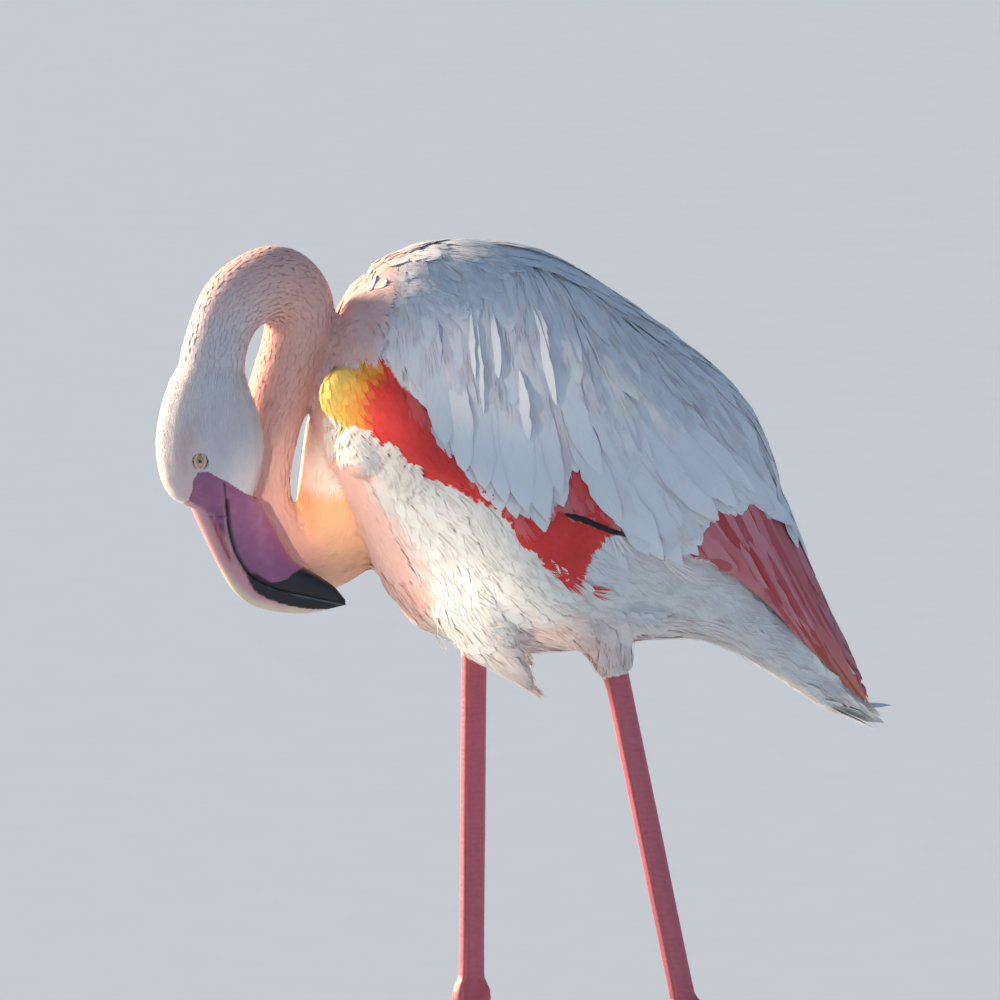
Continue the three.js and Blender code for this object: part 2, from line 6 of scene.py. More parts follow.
import bmesh
import bpy
import numpy as np
from bpy.props import FloatProperty, FloatVectorProperty, IntProperty, PointerProperty
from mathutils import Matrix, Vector
from mathutils.bvhtree import BVHTree


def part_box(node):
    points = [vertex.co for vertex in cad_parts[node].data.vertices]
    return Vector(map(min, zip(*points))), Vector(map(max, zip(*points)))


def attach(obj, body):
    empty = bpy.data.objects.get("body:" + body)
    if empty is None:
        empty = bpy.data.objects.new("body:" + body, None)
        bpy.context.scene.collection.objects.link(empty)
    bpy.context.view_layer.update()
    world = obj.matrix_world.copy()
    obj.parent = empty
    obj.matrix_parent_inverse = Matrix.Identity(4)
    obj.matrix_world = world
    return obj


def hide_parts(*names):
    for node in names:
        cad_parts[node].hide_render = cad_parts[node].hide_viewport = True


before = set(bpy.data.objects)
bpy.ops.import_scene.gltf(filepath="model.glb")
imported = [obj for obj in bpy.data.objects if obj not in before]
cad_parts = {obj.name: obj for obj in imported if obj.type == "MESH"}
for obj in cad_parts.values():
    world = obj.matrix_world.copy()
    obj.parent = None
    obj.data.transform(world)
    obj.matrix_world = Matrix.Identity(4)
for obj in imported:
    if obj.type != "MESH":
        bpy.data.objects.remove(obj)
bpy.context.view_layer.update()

bl_info = {
    "name": "Standing flamingo",
    "version": (1, 0, 0),
    "blender": (4, 5, 0),
    "location": "View3D > Sidebar > Flamingo",
    "description": "Skin, plumage, bill, eyes, legs and stage of a standing flamingo",
    "category": "Add Mesh",
}

MM = 0.001
SIDES = {"left": -1, "right": 1}
UP = np.array((0.0, 0.0, 1.0))

# ---- Where things are, in mm: x towards the tail, y to the right side, z up ----

# The middle of the neck from the root of the bill to the shoulders: x, y, z, radius.
NECK_PATH = (
    (-200, -62, 700, 12), (-206, -62, 721, 20), (-211, -62, 756, 24), (-211, -62, 777, 23.5),
    (-210, -61, 796, 22.5), (-205, -58, 820, 22), (-196, -53, 839, 23.5), (-182, -47, 850, 25),
    (-164, -40, 854, 26),
    (-150, -31, 838, 24.5), (-152, -25, 812, 23), (-163, -20, 778, 22), (-173, -17, 742, 21.5),
    (-178, -15, 708, 21.5), (-174, -12, 680, 23.5), (-160, -6, 660, 26), (-140, 1, 660, 30),
    (-121, 5, 678, 36), (-111, 4, 706, 40), (-105, 3, 735, 42), (-97, 1, 766, 42), (-84, 0, 800, 38),
)
HEAD_Y = -62

# The bill seen from the side, x and z from the face to the tip, with half widths.
CULMEN = ((-226, 702), (-217, 682), (-206.5, 660), (-196, 642), (-182.5, 631), (-163, 626), (-142, 625.5),
          (-117, 631))
MOUTH = ((-201, 719), (-199.5, 703), (-198, 686), (-193.5, 669), (-184, 655), (-170, 646), (-149, 639.5),
         (-117.5, 632))
KEEL = ((-176, 703), (-171.5, 694), (-166, 684), (-160, 672), (-151, 661), (-137, 652), (-125.5, 644),
        (-117.5, 634.5))
UPPER_HALF = (14, 12.6, 11, 10, 9.5, 8.5, 6, 1.2)
LOWER_HALF = (14.5, 14.8, 15, 15, 14, 11.5, 7.5, 1.4)
NOSTRIL = ((-210.5, 694), (-205, 681), (-198, 665))
# Where the black of the tip begins: z, then x.
BLACK_EDGE = {
    "upper": ((620, -90), (627.5, -118), (628.6, -142), (631.5, -158), (636.5, -172), (641, -179),
              (645, -182), (652, -187), (662, -190), (664, -90)),
    "lower": ((636, -190), (646, -180), (648.3, -170), (649, -162), (651, -157), (654.5, -154),
              (657.5, -147.7), (664, -140)),
}
# The line on the face where feathers end and bare skin begins: x, z.
FACE_LINE = ((-236, 698), (-226, 706.5), (-223.3, 714), (-222.6, 721), (-219, 727), (-212, 727.5),
             (-207, 724.4), (-198.8, 720), (-191, 714), (-182, 708), (-173, 700), (-160, 690))

# The way the feathers lie on the body: x, z, then how far they run in x and z.
BODY_LIE = (
    (-140, 770, 0.3, -1), (-145, 745, 0.3, -1), (-132, 700, 0.5, -0.9), (-110, 660, 0.75, -0.75),
    (-70, 615, 0.9, -0.5), (0, 592, 0.95, -0.3), (60, 596, 0.95, -0.2), (120, 600, 0.92, -0.35),
    (180, 585, 0.85, -0.5), (235, 552, 0.8, -0.6), (-125, 830, 0.8, 0.3), (-90, 852, 1, -0.1),
    (-30, 866, 1, -0.25), (30, 850, 0.9, -0.5), (90, 795, 0.78, -0.65), (150, 725, 0.72, -0.7),
    (200, 660, 0.7, -0.72), (-100, 810, 0.45, -0.9), (-75, 800, 0.2, -1), (-40, 780, 0.05, -1),
    (10, 770, 0.1, -1), (0, 720, 0.05, -1), (60, 760, 0.45, -0.9), (60, 700, 0.35, -0.95),
    (110, 700, 0.6, -0.8), (-90, 740, 0.75, -0.66), (-50, 712, 0.82, -0.57), (-60, 660, 0.75, -0.7),
    (0, 650, 0.85, -0.55), (70, 640, 0.9, -0.4), (130, 640, 0.85, -0.5), (180, 640, 0.75, -0.66),
)
LEG_LIE = (0.12, 0.0, -1.0)
# The middle of each leg from the knee to the foot, then its half width and half depth at those places.
LEG_PATHS = {
    "left": ((70, -35.9, 585), (92, -36.8, 478), (118, -37.9, 351), (119.8, -38, 342), (121.5, -38, 334),
             (121.3, -38, 325), (121, -38.1, 317), (118, -39, 190), (115, -39.8, 50), (114.2, -40, 22)),
    "right": ((-28, 35.9, 589), (-29, 37, 470), (-29.9, 37.9, 351), (-29.9, 38, 342), (-30, 38, 334),
              (-30.2, 38.1, 325), (-30.4, 38.2, 317), (-33, 40, 190), (-36, 41.7, 50), (-36.8, 42, 22)),
}
LEG_HALVES = ((9, 9), (9, 9), (9, 9.2), (10.9, 12.8), (11.8, 13.8), (10.2, 12.4), (7.6, 8.9), (6.6, 8),
              (7.4, 8.6), (8, 9.2))
# How the long coverlets of the back run, by place along the body: x, then backwards, outwards and down.
CAPE_LIE = ((-110, 0.15, 0.5, 1), (-60, 0.1, 0.6, 1), (0, 0.14, 0.6, 1), (50, 0.4, 0.45, 1),
            (100, 0.75, 0.25, 1), (150, 0.85, 0.12, 0.95), (210, 0.8, 0.05, 0.95))

# Hems seen from the side, x and z from the breast to the tail. First that of the long coverlets.
CAPE_HEM = ((-112, 846), (-100, 846), (-97, 815), (-90, 804), (-79, 787), (-57, 774), (-47, 748),
            (-24, 718), (6, 699), (22, 695), (29, 703), (50, 748), (66, 718), (88, 682), (104, 670),
            (128, 670), (138, 692), (160, 699), (196, 700))
# The long coverlets whose tips make the hem: x and z of the tip, length and half width.
COVERLET_TIPS = (
    (-48, 746, 70, 10), (-34, 728, 85, 11), (-20, 716, 95, 12), (-6, 707, 110, 12), (9, 700, 120, 13),
    (23, 694, 125, 12), (33, 712, 110, 10), (60, 726, 100, 10), (74, 692, 110, 11), (88, 680, 125, 12),
    (104, 666, 130, 14), (127, 667, 125, 12.5), (140, 692, 110, 12), (153, 700, 110, 12), (168, 700, 105, 12),
    (182, 692, 100, 11), (192, 681, 95, 10),
)
# Narrow feathers of the back that stand on edge to the light: x and z of the tip, length and half width.
BRIGHT_TIPS = ((-21, 768, 82, 5.5), (-27, 792, 60, 4.5), (-11, 792, 48, 5.5), (29, 774, 66, 6),
               (24, 806, 34, 4.5), (10, 750, 50, 7.5))
# The rear wing: x and z where each feather leaves the coverlets and where it ends, half width, redness.
REAR_FEATHERS = (
    (118, 700, 165, 640, 7, 0.15), (124, 704, 178, 628, 8, 0.4), (128, 712, 190, 616, 8, 0.1),
    (134, 714, 200, 604, 8, 0.85), (140, 716, 210, 592, 8, 0.2), (146, 718, 218, 583, 8, 0.7),
    (151, 718, 226, 573, 7.5, 0.1), (156, 716, 233, 565, 7, 0.9), (161, 712, 239, 559, 6.5, 0.3),
    (166, 708, 244, 555, 6, 0.7), (171, 702, 248, 553, 5.5, 0.4),
)
# The dark edge of the flight feathers under the coverlets: x and z of both ends, half width.
DARK_FEATHERS = ((35, 698, 49, 692.5, 1.7), (40, 697.5, 58, 689.5, 2.1), (46, 696, 63, 686.5, 2.2),
                 (54, 692, 72, 683.5, 2.3), (62, 688, 84, 681, 2))
# The lower hem of the red feathers that show in the notch of the coverlets.
NOTCH_HEM = ((20, 698), (34, 700), (70, 688), (90, 684))
# The hem of the short feathers of the back.
MANTLE_HEM = ((-135, 838), (-96, 850), (-66, 838), (-52, 827), (-38, 838), (-10, 862), (25, 868), (60, 850),
              (100, 900))
# The lower edge of the red coverts, over the roll of down.
COVERT_HEM = ((-150, 786), (-134, 772), (-128, 759), (-111, 757), (-104, 753), (-90, 745), (-79, 733),
              (-64, 724), (-45, 719), (-29, 716), (-14, 709), (-4, 695), (5, 677), (25, 654), (44, 638),
              (48, 652), (53, 668), (64, 680), (80, 689))
# The lower edge of the folded rear wing.
WING_HEM = ((60, 683), (130, 662), (158, 649), (193, 616), (221, 580), (242, 557), (254, 546))
# The upper edge of the orange bend of the wing.
BEND_TOP = ((-142, 768), (-133, 777), (-128, 789), (-118, 801), (-104, 806), (-89, 805), (-79, 798),
            (-60, 778))
# Where the short velvet of the neck ends on the side of the breast, which is also the edge of the painted
# warm shade there: z, then x.
VELVET_EDGE = ((650, -72), (666, -80), (695, -93), (719, -103), (745, -118), (777, -129), (800, -128),
               (807, -96), (850, -88))
# Pools of light: name, target, way to the lamp, reach and share of the power.
SPOTS = (
    ("breast_light", (-0.062, -0.07, 0.668), (-0.60, -0.78, 0.18), 0.070, 1.0),
    ("tuft_light", (-0.022, -0.06, 0.612), (-0.60, -0.78, 0.18), 0.058, 1.1),
    ("bend_light", (-0.114, -0.08, 0.756), (-0.50, -0.86, 0.12), 0.048, 1.0),
    ("gap_light", (-0.134, -0.02, 0.700), (-0.20, -0.96, 0.16), 0.052, 1.1),
    ("cape_light", (-0.002, -0.085, 0.800), (-0.90, -0.40, 0.15), 0.065, 0.5),
)
# From above the eye down to the root of the bill, where the skin glows through.
LORE = ((-224, 750), (-227, 735), (-225, 712))
SHOULDER_BACK = -88  # the shoulder feathers in front of this x are downy like the breast
CAPE_FRONT = -84  # no long coverlet grows in front of this x
DOWN_SPLIT = -20  # where the down of the breast meets that of the belly, in x
PLUME_TOP = 604  # the drooping tufts of the breast hang below this z
LEG_TOP = 0.590  # the scaled skin of the legs ends below this z, in metres

# The finish of each kind of plumage: roughness, strength of its streaks and height of its barbs in metres.
FINISHES = {
    "head_plumage": (0.6, 0.35, 0.0001), "neck_plumage": (0.62, 0.2, 0.0001), "down": (0.62, 0.22, 0.0001),
    "crimson_plumage": (0.5, 0.4, 0.0001), "dark_plumage": (0.4, 0.3, 0.0001),
    "rose_plumage": (0.5, 0.55, 0.0002), "tail_plumage": (0.55, 0.4, 0.0002),
    "cape_plumage": (0.55, 0.2, 0.0001),
}
PLUMAGE_SHADER = {"Sheen Weight": 0.25, "Sheen Roughness": 0.5, "Subsurface Weight": 0.15,
                  "Subsurface Scale": 0.006, "Specular IOR Level": 0.25}
# Horn and bare skin: size of the grain, strength of its patches, roughness and how much the grain adds to it,
# strength and height of the bump, then the shader's constants.
GRAINS = {
    "skin": (0.0012, 0.12, 0.45, 0.3, 0.3, 0.0003,
             {"Subsurface Weight": 0.2, "Subsurface Scale": 0.006, "Specular IOR Level": 0.3}),
    "leg": (0.0009, 0.22, 0.3, 0.3, 0.4, 0.0003,
            {"Subsurface Weight": 0.12, "Subsurface Scale": 0.003, "Specular IOR Level": 0.45}),
    "bill": (0.0016, 0.16, 0.2, 0.35, 0.25, 0.0003,
             {"Subsurface Weight": 0.12, "Subsurface Scale": 0.004, "Coat Roughness": 0.3,
              "Specular IOR Level": 0.5}),
    "lid": (0.0006, 0.2, 0.3, 0.3, 0.4, 0.0002, {"Subsurface Weight": 0.15, "Subsurface Scale": 0.002}),
    "claw": (0.0008, 0.35, 0.15, 0.4, 0.3, 0.0002, {"Specular IOR Level": 0.5}),
}
CLOSING = 1.2 * MM  # how far the solids swell to close the cuts between them, before the form shrinks back
CROSSING_SINK = 1.2 * MM  # how far the body's skin and the head's go under each other where they cross
# The even grids that forms are remade on.
BODY_GRID, HEAD_GRID, LEG_GRID, CLAW_GRID, LAYOUT_GRID = 2.2 * MM, 0.9 * MM, 1.0 * MM, 0.35 * MM, 7 * MM
PATCH = 0.003  # how much of the flat layout one feather takes
THIN_SHARE = 0.36  # how much of a thin part's thickness its skin may sink by
GROOVE_DEPTH = 0.35 * MM  # of the deepest grooves between the scales of the legs
SOLE_HEIGHT = 0.9 * MM  # what lies lower than this is pressed flat on the floor
MOST_TRIANGLES = 200000  # a piece of the coat stays below this
SPOT_DISTANCE = 3.5  # from a pool of light to its lamp, in metres
WARM_LIGHT = (1.0, 0.83, 0.62)
COOL_LIGHT = (0.50, 0.72, 1.0)
SKY_LIGHT = (0.45, 0.68, 1.0, 1)
SUN_LIGHT = (1.0, 0.80, 0.56)
FLESH = tuple(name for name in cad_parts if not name.startswith(("bill", "eye", "claw")))
LEG_NODES = tuple(f"{piece}_{side}" for side in SIDES for piece in ("shank", "ankle", "tarsus", "foot"))
BILL_NODES = ("bill_upper", "bill_lower")
HEAD_NODES = ("head", "neck_4")


# ---- Small sums on arrays of points ----

def unit(vectors):
    return vectors / np.maximum(np.linalg.norm(vectors, axis=-1, keepdims=True), 1e-12)


def dot(a, b):
    return (a * b).sum(-1)


def step_between(low, high, value):
    """0 below low, 1 above high and a smooth step between."""
    t = np.clip((value - low) / (high - low), 0, 1)
    return t * t * (3 - 2 * t)


def mixed(a, b, share):
    return a + (b - a) * np.asarray(share)[..., None]


def smooth_line(stations, count):
    """A smooth curve of count points through the stations, all their columns together."""
    p = np.asarray(stations, float)
    p = np.vstack((2 * p[0] - p[1], p, 2 * p[-1] - p[-2]))
    t = np.linspace(0, len(stations) - 1 - 1e-9, count)
    i = t.astype(int)
    t = (t - i)[:, None]
    a, b, c, d = p[i], p[i + 1], p[i + 2], p[i + 3]
    return 0.5 * (2 * b + (c - a) * t + (2 * a - 5 * b + 4 * c - d) * t**2 + (3 * b - 3 * c + d - a) * t**3)


def read_off(table, at):
    """The second column of a table, read off at values of its first."""
    return np.interp(at, *np.asarray(table, float)[:, :2].T)


def side_view(places):
    """The places' x and z in mm."""
    return places[:, 0] / MM, places[:, 2] / MM


def above(line, places, by=0):
    """True where the places lie above a side-view line raised by some mm."""
    x, z = side_view(places)
    return z > read_off(line, x) + by


def named(names, *starts):
    """True for the names that start with any of the words."""
    return np.any([np.char.startswith(names, start) for start in starts], axis=0)


def line_distance(line, places):
    """How far the places lie from a side-view line, in mm, whichever side of it they are on."""
    points = np.asarray(line, float)
    flat = places[:, None, [0, 2]] / MM
    start, run = points[:-1], np.diff(points, axis=0)
    along = np.clip(dot(flat - start, run) / dot(run, run), 0, 1)
    return np.linalg.norm(flat - start - run * along[..., None], axis=2).min(1)


def wander(places, size, seed=0):
    """Smooth noise from -1 to 1 over places, its swells about size metres across."""
    rng = np.random.default_rng(1000 + seed)
    total = np.zeros(len(places))
    for octave in range(3):
        for _ in range(4):
            wave = rng.normal(size=3)
            wave *= 2 * math.pi * 2**octave * 0.55 / (size * np.linalg.norm(wave))
            total += np.sin(places @ wave + rng.uniform(0, 2 * math.pi)) * 0.6**octave
    return total / 4.2


# ---- Meshes ----

def mesh_of(name, points, blocks):
    """A mesh from an array of points and blocks of faces with the same number of corners."""
    blocks = [np.asarray(block, np.int32) for block in blocks if len(block)]
    corners = np.concatenate([block.ravel() for block in blocks])
    sizes = np.concatenate([np.full(len(block), block.shape[1]) for block in blocks])
    mesh = bpy.data.meshes.new(name)
    mesh.vertices.add(len(points))
    mesh.vertices.foreach_set("co", np.asarray(points, np.float32).ravel())
    mesh.loops.add(len(corners))
    mesh.loops.foreach_set("vertex_index", corners)
    mesh.polygons.add(len(sizes))
    mesh.polygons.foreach_set("loop_start", np.concatenate(([0], np.cumsum(sizes)[:-1])).astype(np.int32))
    mesh.update(calc_edges=True)
    mesh.shade_smooth()
    return mesh


def ring_faces(rings, corners):
    """The numbers of the corners ring by ring, and the quads between the rings."""
    grid = np.arange(rings * corners).reshape(rings, corners)
    beside = np.roll(grid, -1, 1)
    return grid, np.stack((grid[:-1], grid[1:], beside[1:], beside[:-1]), -1).reshape(-1, 4)


def tube_mesh(name, points):
    """A closed tube through rings of points, capped at both ends."""
    grid, quads = ring_faces(*points.shape[:2])
    return mesh_of(name, points.reshape(-1, 3), [quads, grid[:1], grid[-1:, ::-1]])


def field(items, name, width=1, kind=np.float32):
    """One field of every vertex, corner or face, as an array."""
    values = np.empty(len(items) * width, kind)
    items.foreach_get(name, values)
    return values.reshape(-1, width) if width > 1 else values


def corners_of(mesh):
    return field(mesh.loops, "vertex_index", kind=np.int32)


def add_uv(mesh, name, per_point):
    layer = mesh.uv_layers.new(name=name)
    layer.data.foreach_set("uv", np.asarray(per_point, np.float32)[corners_of(mesh)].ravel())


def add_colour(mesh, name, colours):
    rgba = np.ones((len(colours), 4), np.float32)
    rgba[:, :3] = np.clip(colours, 0, 1)
    mesh.color_attributes.new(name, "FLOAT_COLOR", "POINT").data.foreach_set("color", rgba.ravel())


def add_value(mesh, name, values):
    mesh.attributes.new(name, "FLOAT", "POINT").data.foreach_set("value", np.asarray(values, np.float32))


def points_of(mesh):
    return field(mesh.vertices, "co", 3).astype(float)


def triangles_of(mesh):
    mesh.calc_loop_triangles()
    return field(mesh.loop_triangles, "vertices", 3, np.int32)


def surface_of(mesh):
    return Surface(points_of(mesh), triangles_of(mesh))


def placed(name, data):
    """A new object in the scene."""
    made = bpy.data.objects.new(name, data)
    bpy.context.scene.collection.objects.link(made)
    return made


def standing(mesh, materials, replaced=()):
    """Places a mesh as a piece of the bird that rides on its one body."""
    for material in materials:
        mesh.materials.append(material)
    piece = placed(mesh.name, mesh)
    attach(piece, "root")
    if replaced:
        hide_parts(*replaced)
    return piece


@contextlib.contextmanager
def edited(mesh):
    """The mesh as a form that can be edited, written back afterwards."""
    form = bmesh.new()
    form.from_mesh(mesh)
    yield form
    form.to_mesh(mesh)
    form.free()


def together(*meshes):
    """The meshes as one mesh, not joined where they overlap."""
    made = bpy.data.meshes.new("together")
    with edited(made) as form:
        for mesh in meshes:
            form.from_mesh(mesh)
    return made


def node_mesh(names, swell=0.0):
    """The named solids as one mesh with shared corners, each swollen by a distance so that they overlap."""
    copies = []
    for name in names:
        copies.append(bpy.data.meshes.new(name))
        with edited(copies[-1]) as solid:
            solid.from_mesh(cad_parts[name].data)
            bmesh.ops.remove_doubles(solid, verts=solid.verts, dist=1e-5)
            bmesh.ops.recalc_face_normals(solid, faces=solid.faces)
            solid.normal_update()
            for vert in solid.verts:
                vert.co += vert.normal * swell
    joined = together(*copies)
    for copy in copies:
        bpy.data.meshes.remove(copy)
    return joined


def finished(piece):
    """The piece's mesh with its modifiers applied; the piece itself goes."""
    graph = bpy.context.evaluated_depsgraph_get()
    mesh = bpy.data.meshes.new_from_object(piece.evaluated_get(graph))
    bpy.data.objects.remove(piece)
    return mesh


def remade(mesh, grid, smoothing):
    """The mesh on a fine even grid, as one closed surface, smoothed."""
    piece = placed("grid", mesh)
    remesh = piece.modifiers.new("Grid", "REMESH")
    remesh.mode = "VOXEL"
    remesh.voxel_size = grid
    smooth = piece.modifiers.new("Smooth", "SMOOTH")
    smooth.iterations = smoothing
    smooth.factor = 0.5
    return finished(piece)


def joined_solid(*meshes):
    """One closed surface from meshes that overlap."""
    base, *others = [placed(f"solid_{i}", mesh) for i, mesh in enumerate(meshes)]
    before = len(base.data.vertices)
    for other in others:
        union = base.modifiers.new("Union", "BOOLEAN")
        union.operation = "UNION"
        union.solver = "MANIFOLD"
        union.object = other
    mesh = finished(base)
    for other in others:
        bpy.data.objects.remove(other)
    if len(mesh.vertices) < before * 1.02:
        raise RuntimeError("the skin's parts did not join")
    return mesh


class Surface:
    """A closed triangle mesh that answers which of its points is nearest."""

    def __init__(self, points, triangles):
        self.points, self.triangles = points, triangles
        a, b, c = (points[triangles[:, i]] for i in range(3))
        cross = np.cross(b - a, c - a)
        self.areas = np.linalg.norm(cross, axis=1) / 2
        self.normals = np.zeros_like(points)
        for i in range(3):
            np.add.at(self.normals, triangles[:, i], cross)
        self.normals = unit(self.normals)
        self.tree = BVHTree.FromPolygons(points.tolist(), triangles.tolist())

    def nearest(self, places):
        """The nearest points, the smooth normals there and the triangles they lie on."""
        flat = np.asarray(places).reshape(-1, 3)
        found = [self.tree.find_nearest(place) for place in flat.tolist()]
        points = np.array([hit[0][:] for hit in found])
        index = np.array([hit[2] for hit in found])
        normals = unit(self.normals[self.triangles[index]].mean(1))
        return points, normals, index

    def thickness(self, places, normals, most):
        """How thick the body is under each place, up to a limit."""
        deep = []
        for place, normal in zip((places - normals * 1e-4).tolist(), (-normals).tolist()):
            hit = self.tree.ray_cast(place, normal, most)
            deep.append(hit[3] if hit[0] is not None else most)
        return np.array(deep)


# ---- The body under the feathers ----

@functools.lru_cache(None)
def solids():
    """The solids' own surface, with the name of the node each triangle belongs to."""
    points, triangles, names, count = [], [], [], 0
    for name in FLESH + BILL_NODES:
        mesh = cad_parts[name].data
        points.append(points_of(mesh))
        triangles.append(triangles_of(mesh) + count)
        names += [name] * len(triangles[-1])
        count += len(points[-1])
    return Surface(np.vstack(points), np.vstack(triangles)), np.array(names)


def node_names(places):
    """The name of the solid that each place lies nearest to."""
    surface, names = solids()
    return names[surface.nearest(places)[2]]


def neck_tube(first, last, inset=0.3 * MM, corners=36):
    """The neck's own round form between two shares of its length, without the cuts between its solids."""
    middle, radii, ways = (values[int(first * 89):int(last * 89) + 1] for values in neck_line())
    side = unit(np.cross(ways, (0.0, 1.0, 0.0)))
    over = np.cross(side, ways)
    turn = np.linspace(0, 2 * math.pi, corners, endpoint=False)[:, None]
    rings = middle[:, None] + (side[:, None] * np.cos(turn) + over[:, None] * np.sin(turn)) \
        * (radii - inset)[:, None, None]
    return tube_mesh("neck_tube", rings)


def drawn_in(mesh, by):
    """The mesh's surface moved inwards by a distance."""
    surface = surface_of(mesh)
    return Surface(surface.points - surface.normals * by, surface.triangles)


def swollen(mesh, by):
    """The mesh's surface moved outwards by a distance."""
    surface = surface_of(mesh)
    return mesh_of("swollen", surface.points + surface.normals * by, [surface.triangles])


def eased(mesh, wanted, times):
    """The mesh smoothed further at the points that are wanted."""
    with edited(mesh) as form:
        form.verts.ensure_lookup_table()
        picked = [form.verts[i] for i in np.flatnonzero(wanted(points_of(mesh)))]
        for _ in range(times):
            bmesh.ops.smooth_vert(form, verts=picked, factor=0.5,
                                  use_axis_x=True, use_axis_y=True, use_axis_z=True)
    return mesh


def filler(centre, radii):
    """A rounded form that fills a corner of the body's outline, in mm."""
    mesh = bpy.data.meshes.new("filler")
    with edited(mesh) as form:
        bmesh.ops.create_icosphere(form, subdivisions=3, radius=1)
        for vert in form.verts:
            vert.co = Vector(centre) * MM + vert.co * Vector(radii) * MM
    return mesh


def in_fold(places):
    """True over the fold above the drooping tufts of the breast, which their down hides."""
    x, z = side_view(places)
    return (x > -82) & (x < 22) & (z > 597) & (z < 674) & (np.abs(places[:, 1]) > 0.025)


@functools.lru_cache(None)
def outline():
    """The body's smooth outer form, out to the tips of its coat."""
    names = [name for name in FLESH if name not in LEG_NODES]
    fillers = []
    for path in LEG_PATHS.values():
        x, y = path[0][:2]
        fillers += [filler((x + 16, y, 620), (28, 22, 16)), filler((x - 16, y, 609), (24, 20, 16))]
    fillers += [filler((-109, sign * 65, 741), (15, 15, 21)) for sign in SIDES.values()]
    form = together(node_mesh(names, CLOSING * 0.6), neck_tube(0.13, 1, -CLOSING * 0.6), *fillers)
    return drawn_in(eased(remade(form, BODY_GRID, 12), in_fold, 70), CLOSING * 0.4)


@functools.lru_cache(None)
def head_outline():
    """The head's smooth outer form, with the root of the bill that it grows into."""
    halves = [swollen(mandible(part), 0.8 * MM) for part in ("upper", "lower")]
    form = together(node_mesh(HEAD_NODES, CLOSING * 0.6), neck_tube(0.13, 0.45, -CLOSING * 0.6), *halves)
    mesh = eased(remade(form, HEAD_GRID, 80), lambda places: np.abs(places[:, 2] - 0.698) < 0.018, 12)
    with edited(mesh) as cut:
        beyond = [v for v in cut.verts if v.co.z < 0.692 or v.co.x > -0.150 and v.co.z < 0.72]
        bmesh.ops.delete(cut, geom=beyond, context="VERTS")
        bmesh.ops.holes_fill(cut, edges=[e for e in cut.edges if e.is_boundary])
        bmesh.ops.triangulate(cut, faces=cut.faces)
    return drawn_in(mesh, CLOSING * 0.4)


@functools.lru_cache(None)
def neck_line():
    """The neck's middle line, its radii, and the way its feathers lie, all in metres."""
    line = smooth_line(NECK_PATH, 90) * MM
    middle = line[:, :3]
    return middle, line[:, 3], unit(np.gradient(middle, axis=0))


def neck_lie(places, normals):
    middle, radii, ways = neck_line()
    away = places[:, None] - middle
    far = np.linalg.norm(away, axis=2)
    facing = np.clip(dot(away / far[..., None], normals[:, None]), 0.05, 1)
    weight = facing**2 / (far / radii) ** 8
    return unit((weight[..., None] * ways).sum(1))


def body_lie(places, normals=None):
    guides = np.asarray(BODY_LIE, float)
    apart = ((places[:, None, [0, 2]] / MM - guides[:, :2]) ** 2).sum(2) + 50
    flat = (guides[:, 2:] / apart[..., None] ** 2).sum(1)
    return unit(np.stack((flat[:, 0], np.zeros(len(flat)), flat[:, 1]), 1))


def lie(places, normals):
    """The way the feathers lie at each place."""
    names = node_names(places)
    way = body_lie(places)
    on_neck = named(names, "neck", "head", "bill")
    if on_neck.any():
        way[on_neck] = neck_lie(places[on_neck], normals[on_neck])
    way[named(names, "thigh")] = unit(np.array(LEG_LIE))
    return way


def cape_lie(places, normals=None):
    """The coverlets hang down the sides in front and sweep back towards the tail behind."""
    x, *ways = np.transpose(CAPE_LIE)
    back, out, down = (np.interp(places[:, 0] / MM, x, way) for way in ways)
    outward = np.sign(places[:, 1]) * step_between(0, 0.012, np.abs(places[:, 1]))
    return unit(np.stack((back, out * outward, -down), 1))


def mantle_lie(places, normals=None):
    """The short feathers of the back lie backwards and a little outwards."""
    return unit(body_lie(places) * 0.6 + cape_lie(places) * 0.5)


def back_lie(places, normals=None):
    """The feathers of the parting lie backwards and only a little outwards."""
    way = body_lie(places)
    way[:, 1] = np.clip(places[:, 1] / 0.02, -1, 1) * 0.25
    return unit(way)


def wing_lie(places, normals=None):
    """The folded wing's feathers run together towards its tip."""
    aim = np.array((0.262, 0.0, 0.535)) - places
    aim[:, 1] = 0
    return unit(aim)


def in_plane(way, normals):
    return unit(way - normals * dot(way, normals)[:, None])


def bare_face(places):
    """True on the bare skin of the face and bill, below the line where the feathers end."""
    x, z = side_view(places)
    on_head = (places[:, 1] < -0.03) & (z > 600)
    return (FACE_LINE[0][0] < x) & (x < FACE_LINE[-1][0]) & ~above(FACE_LINE, places) & on_head


# ---- Colours and markings ----

def settings(part):
    return getattr(bpy.context.scene, "flamingo_" + part)


def shades(part, names):
    """The named colours of a group of settings, as arrays."""
    return [np.array(getattr(settings(part), name)) for name in names.split()]


def neck_share(places):
    """How far down the neck each place is, 0 at the bill and 1 inside the shoulders."""
    middle, radii, _ = neck_line()
    far = np.linalg.norm(places[:, None] - middle, axis=2) / radii
    return far.argmin(1) / (len(middle) - 1)


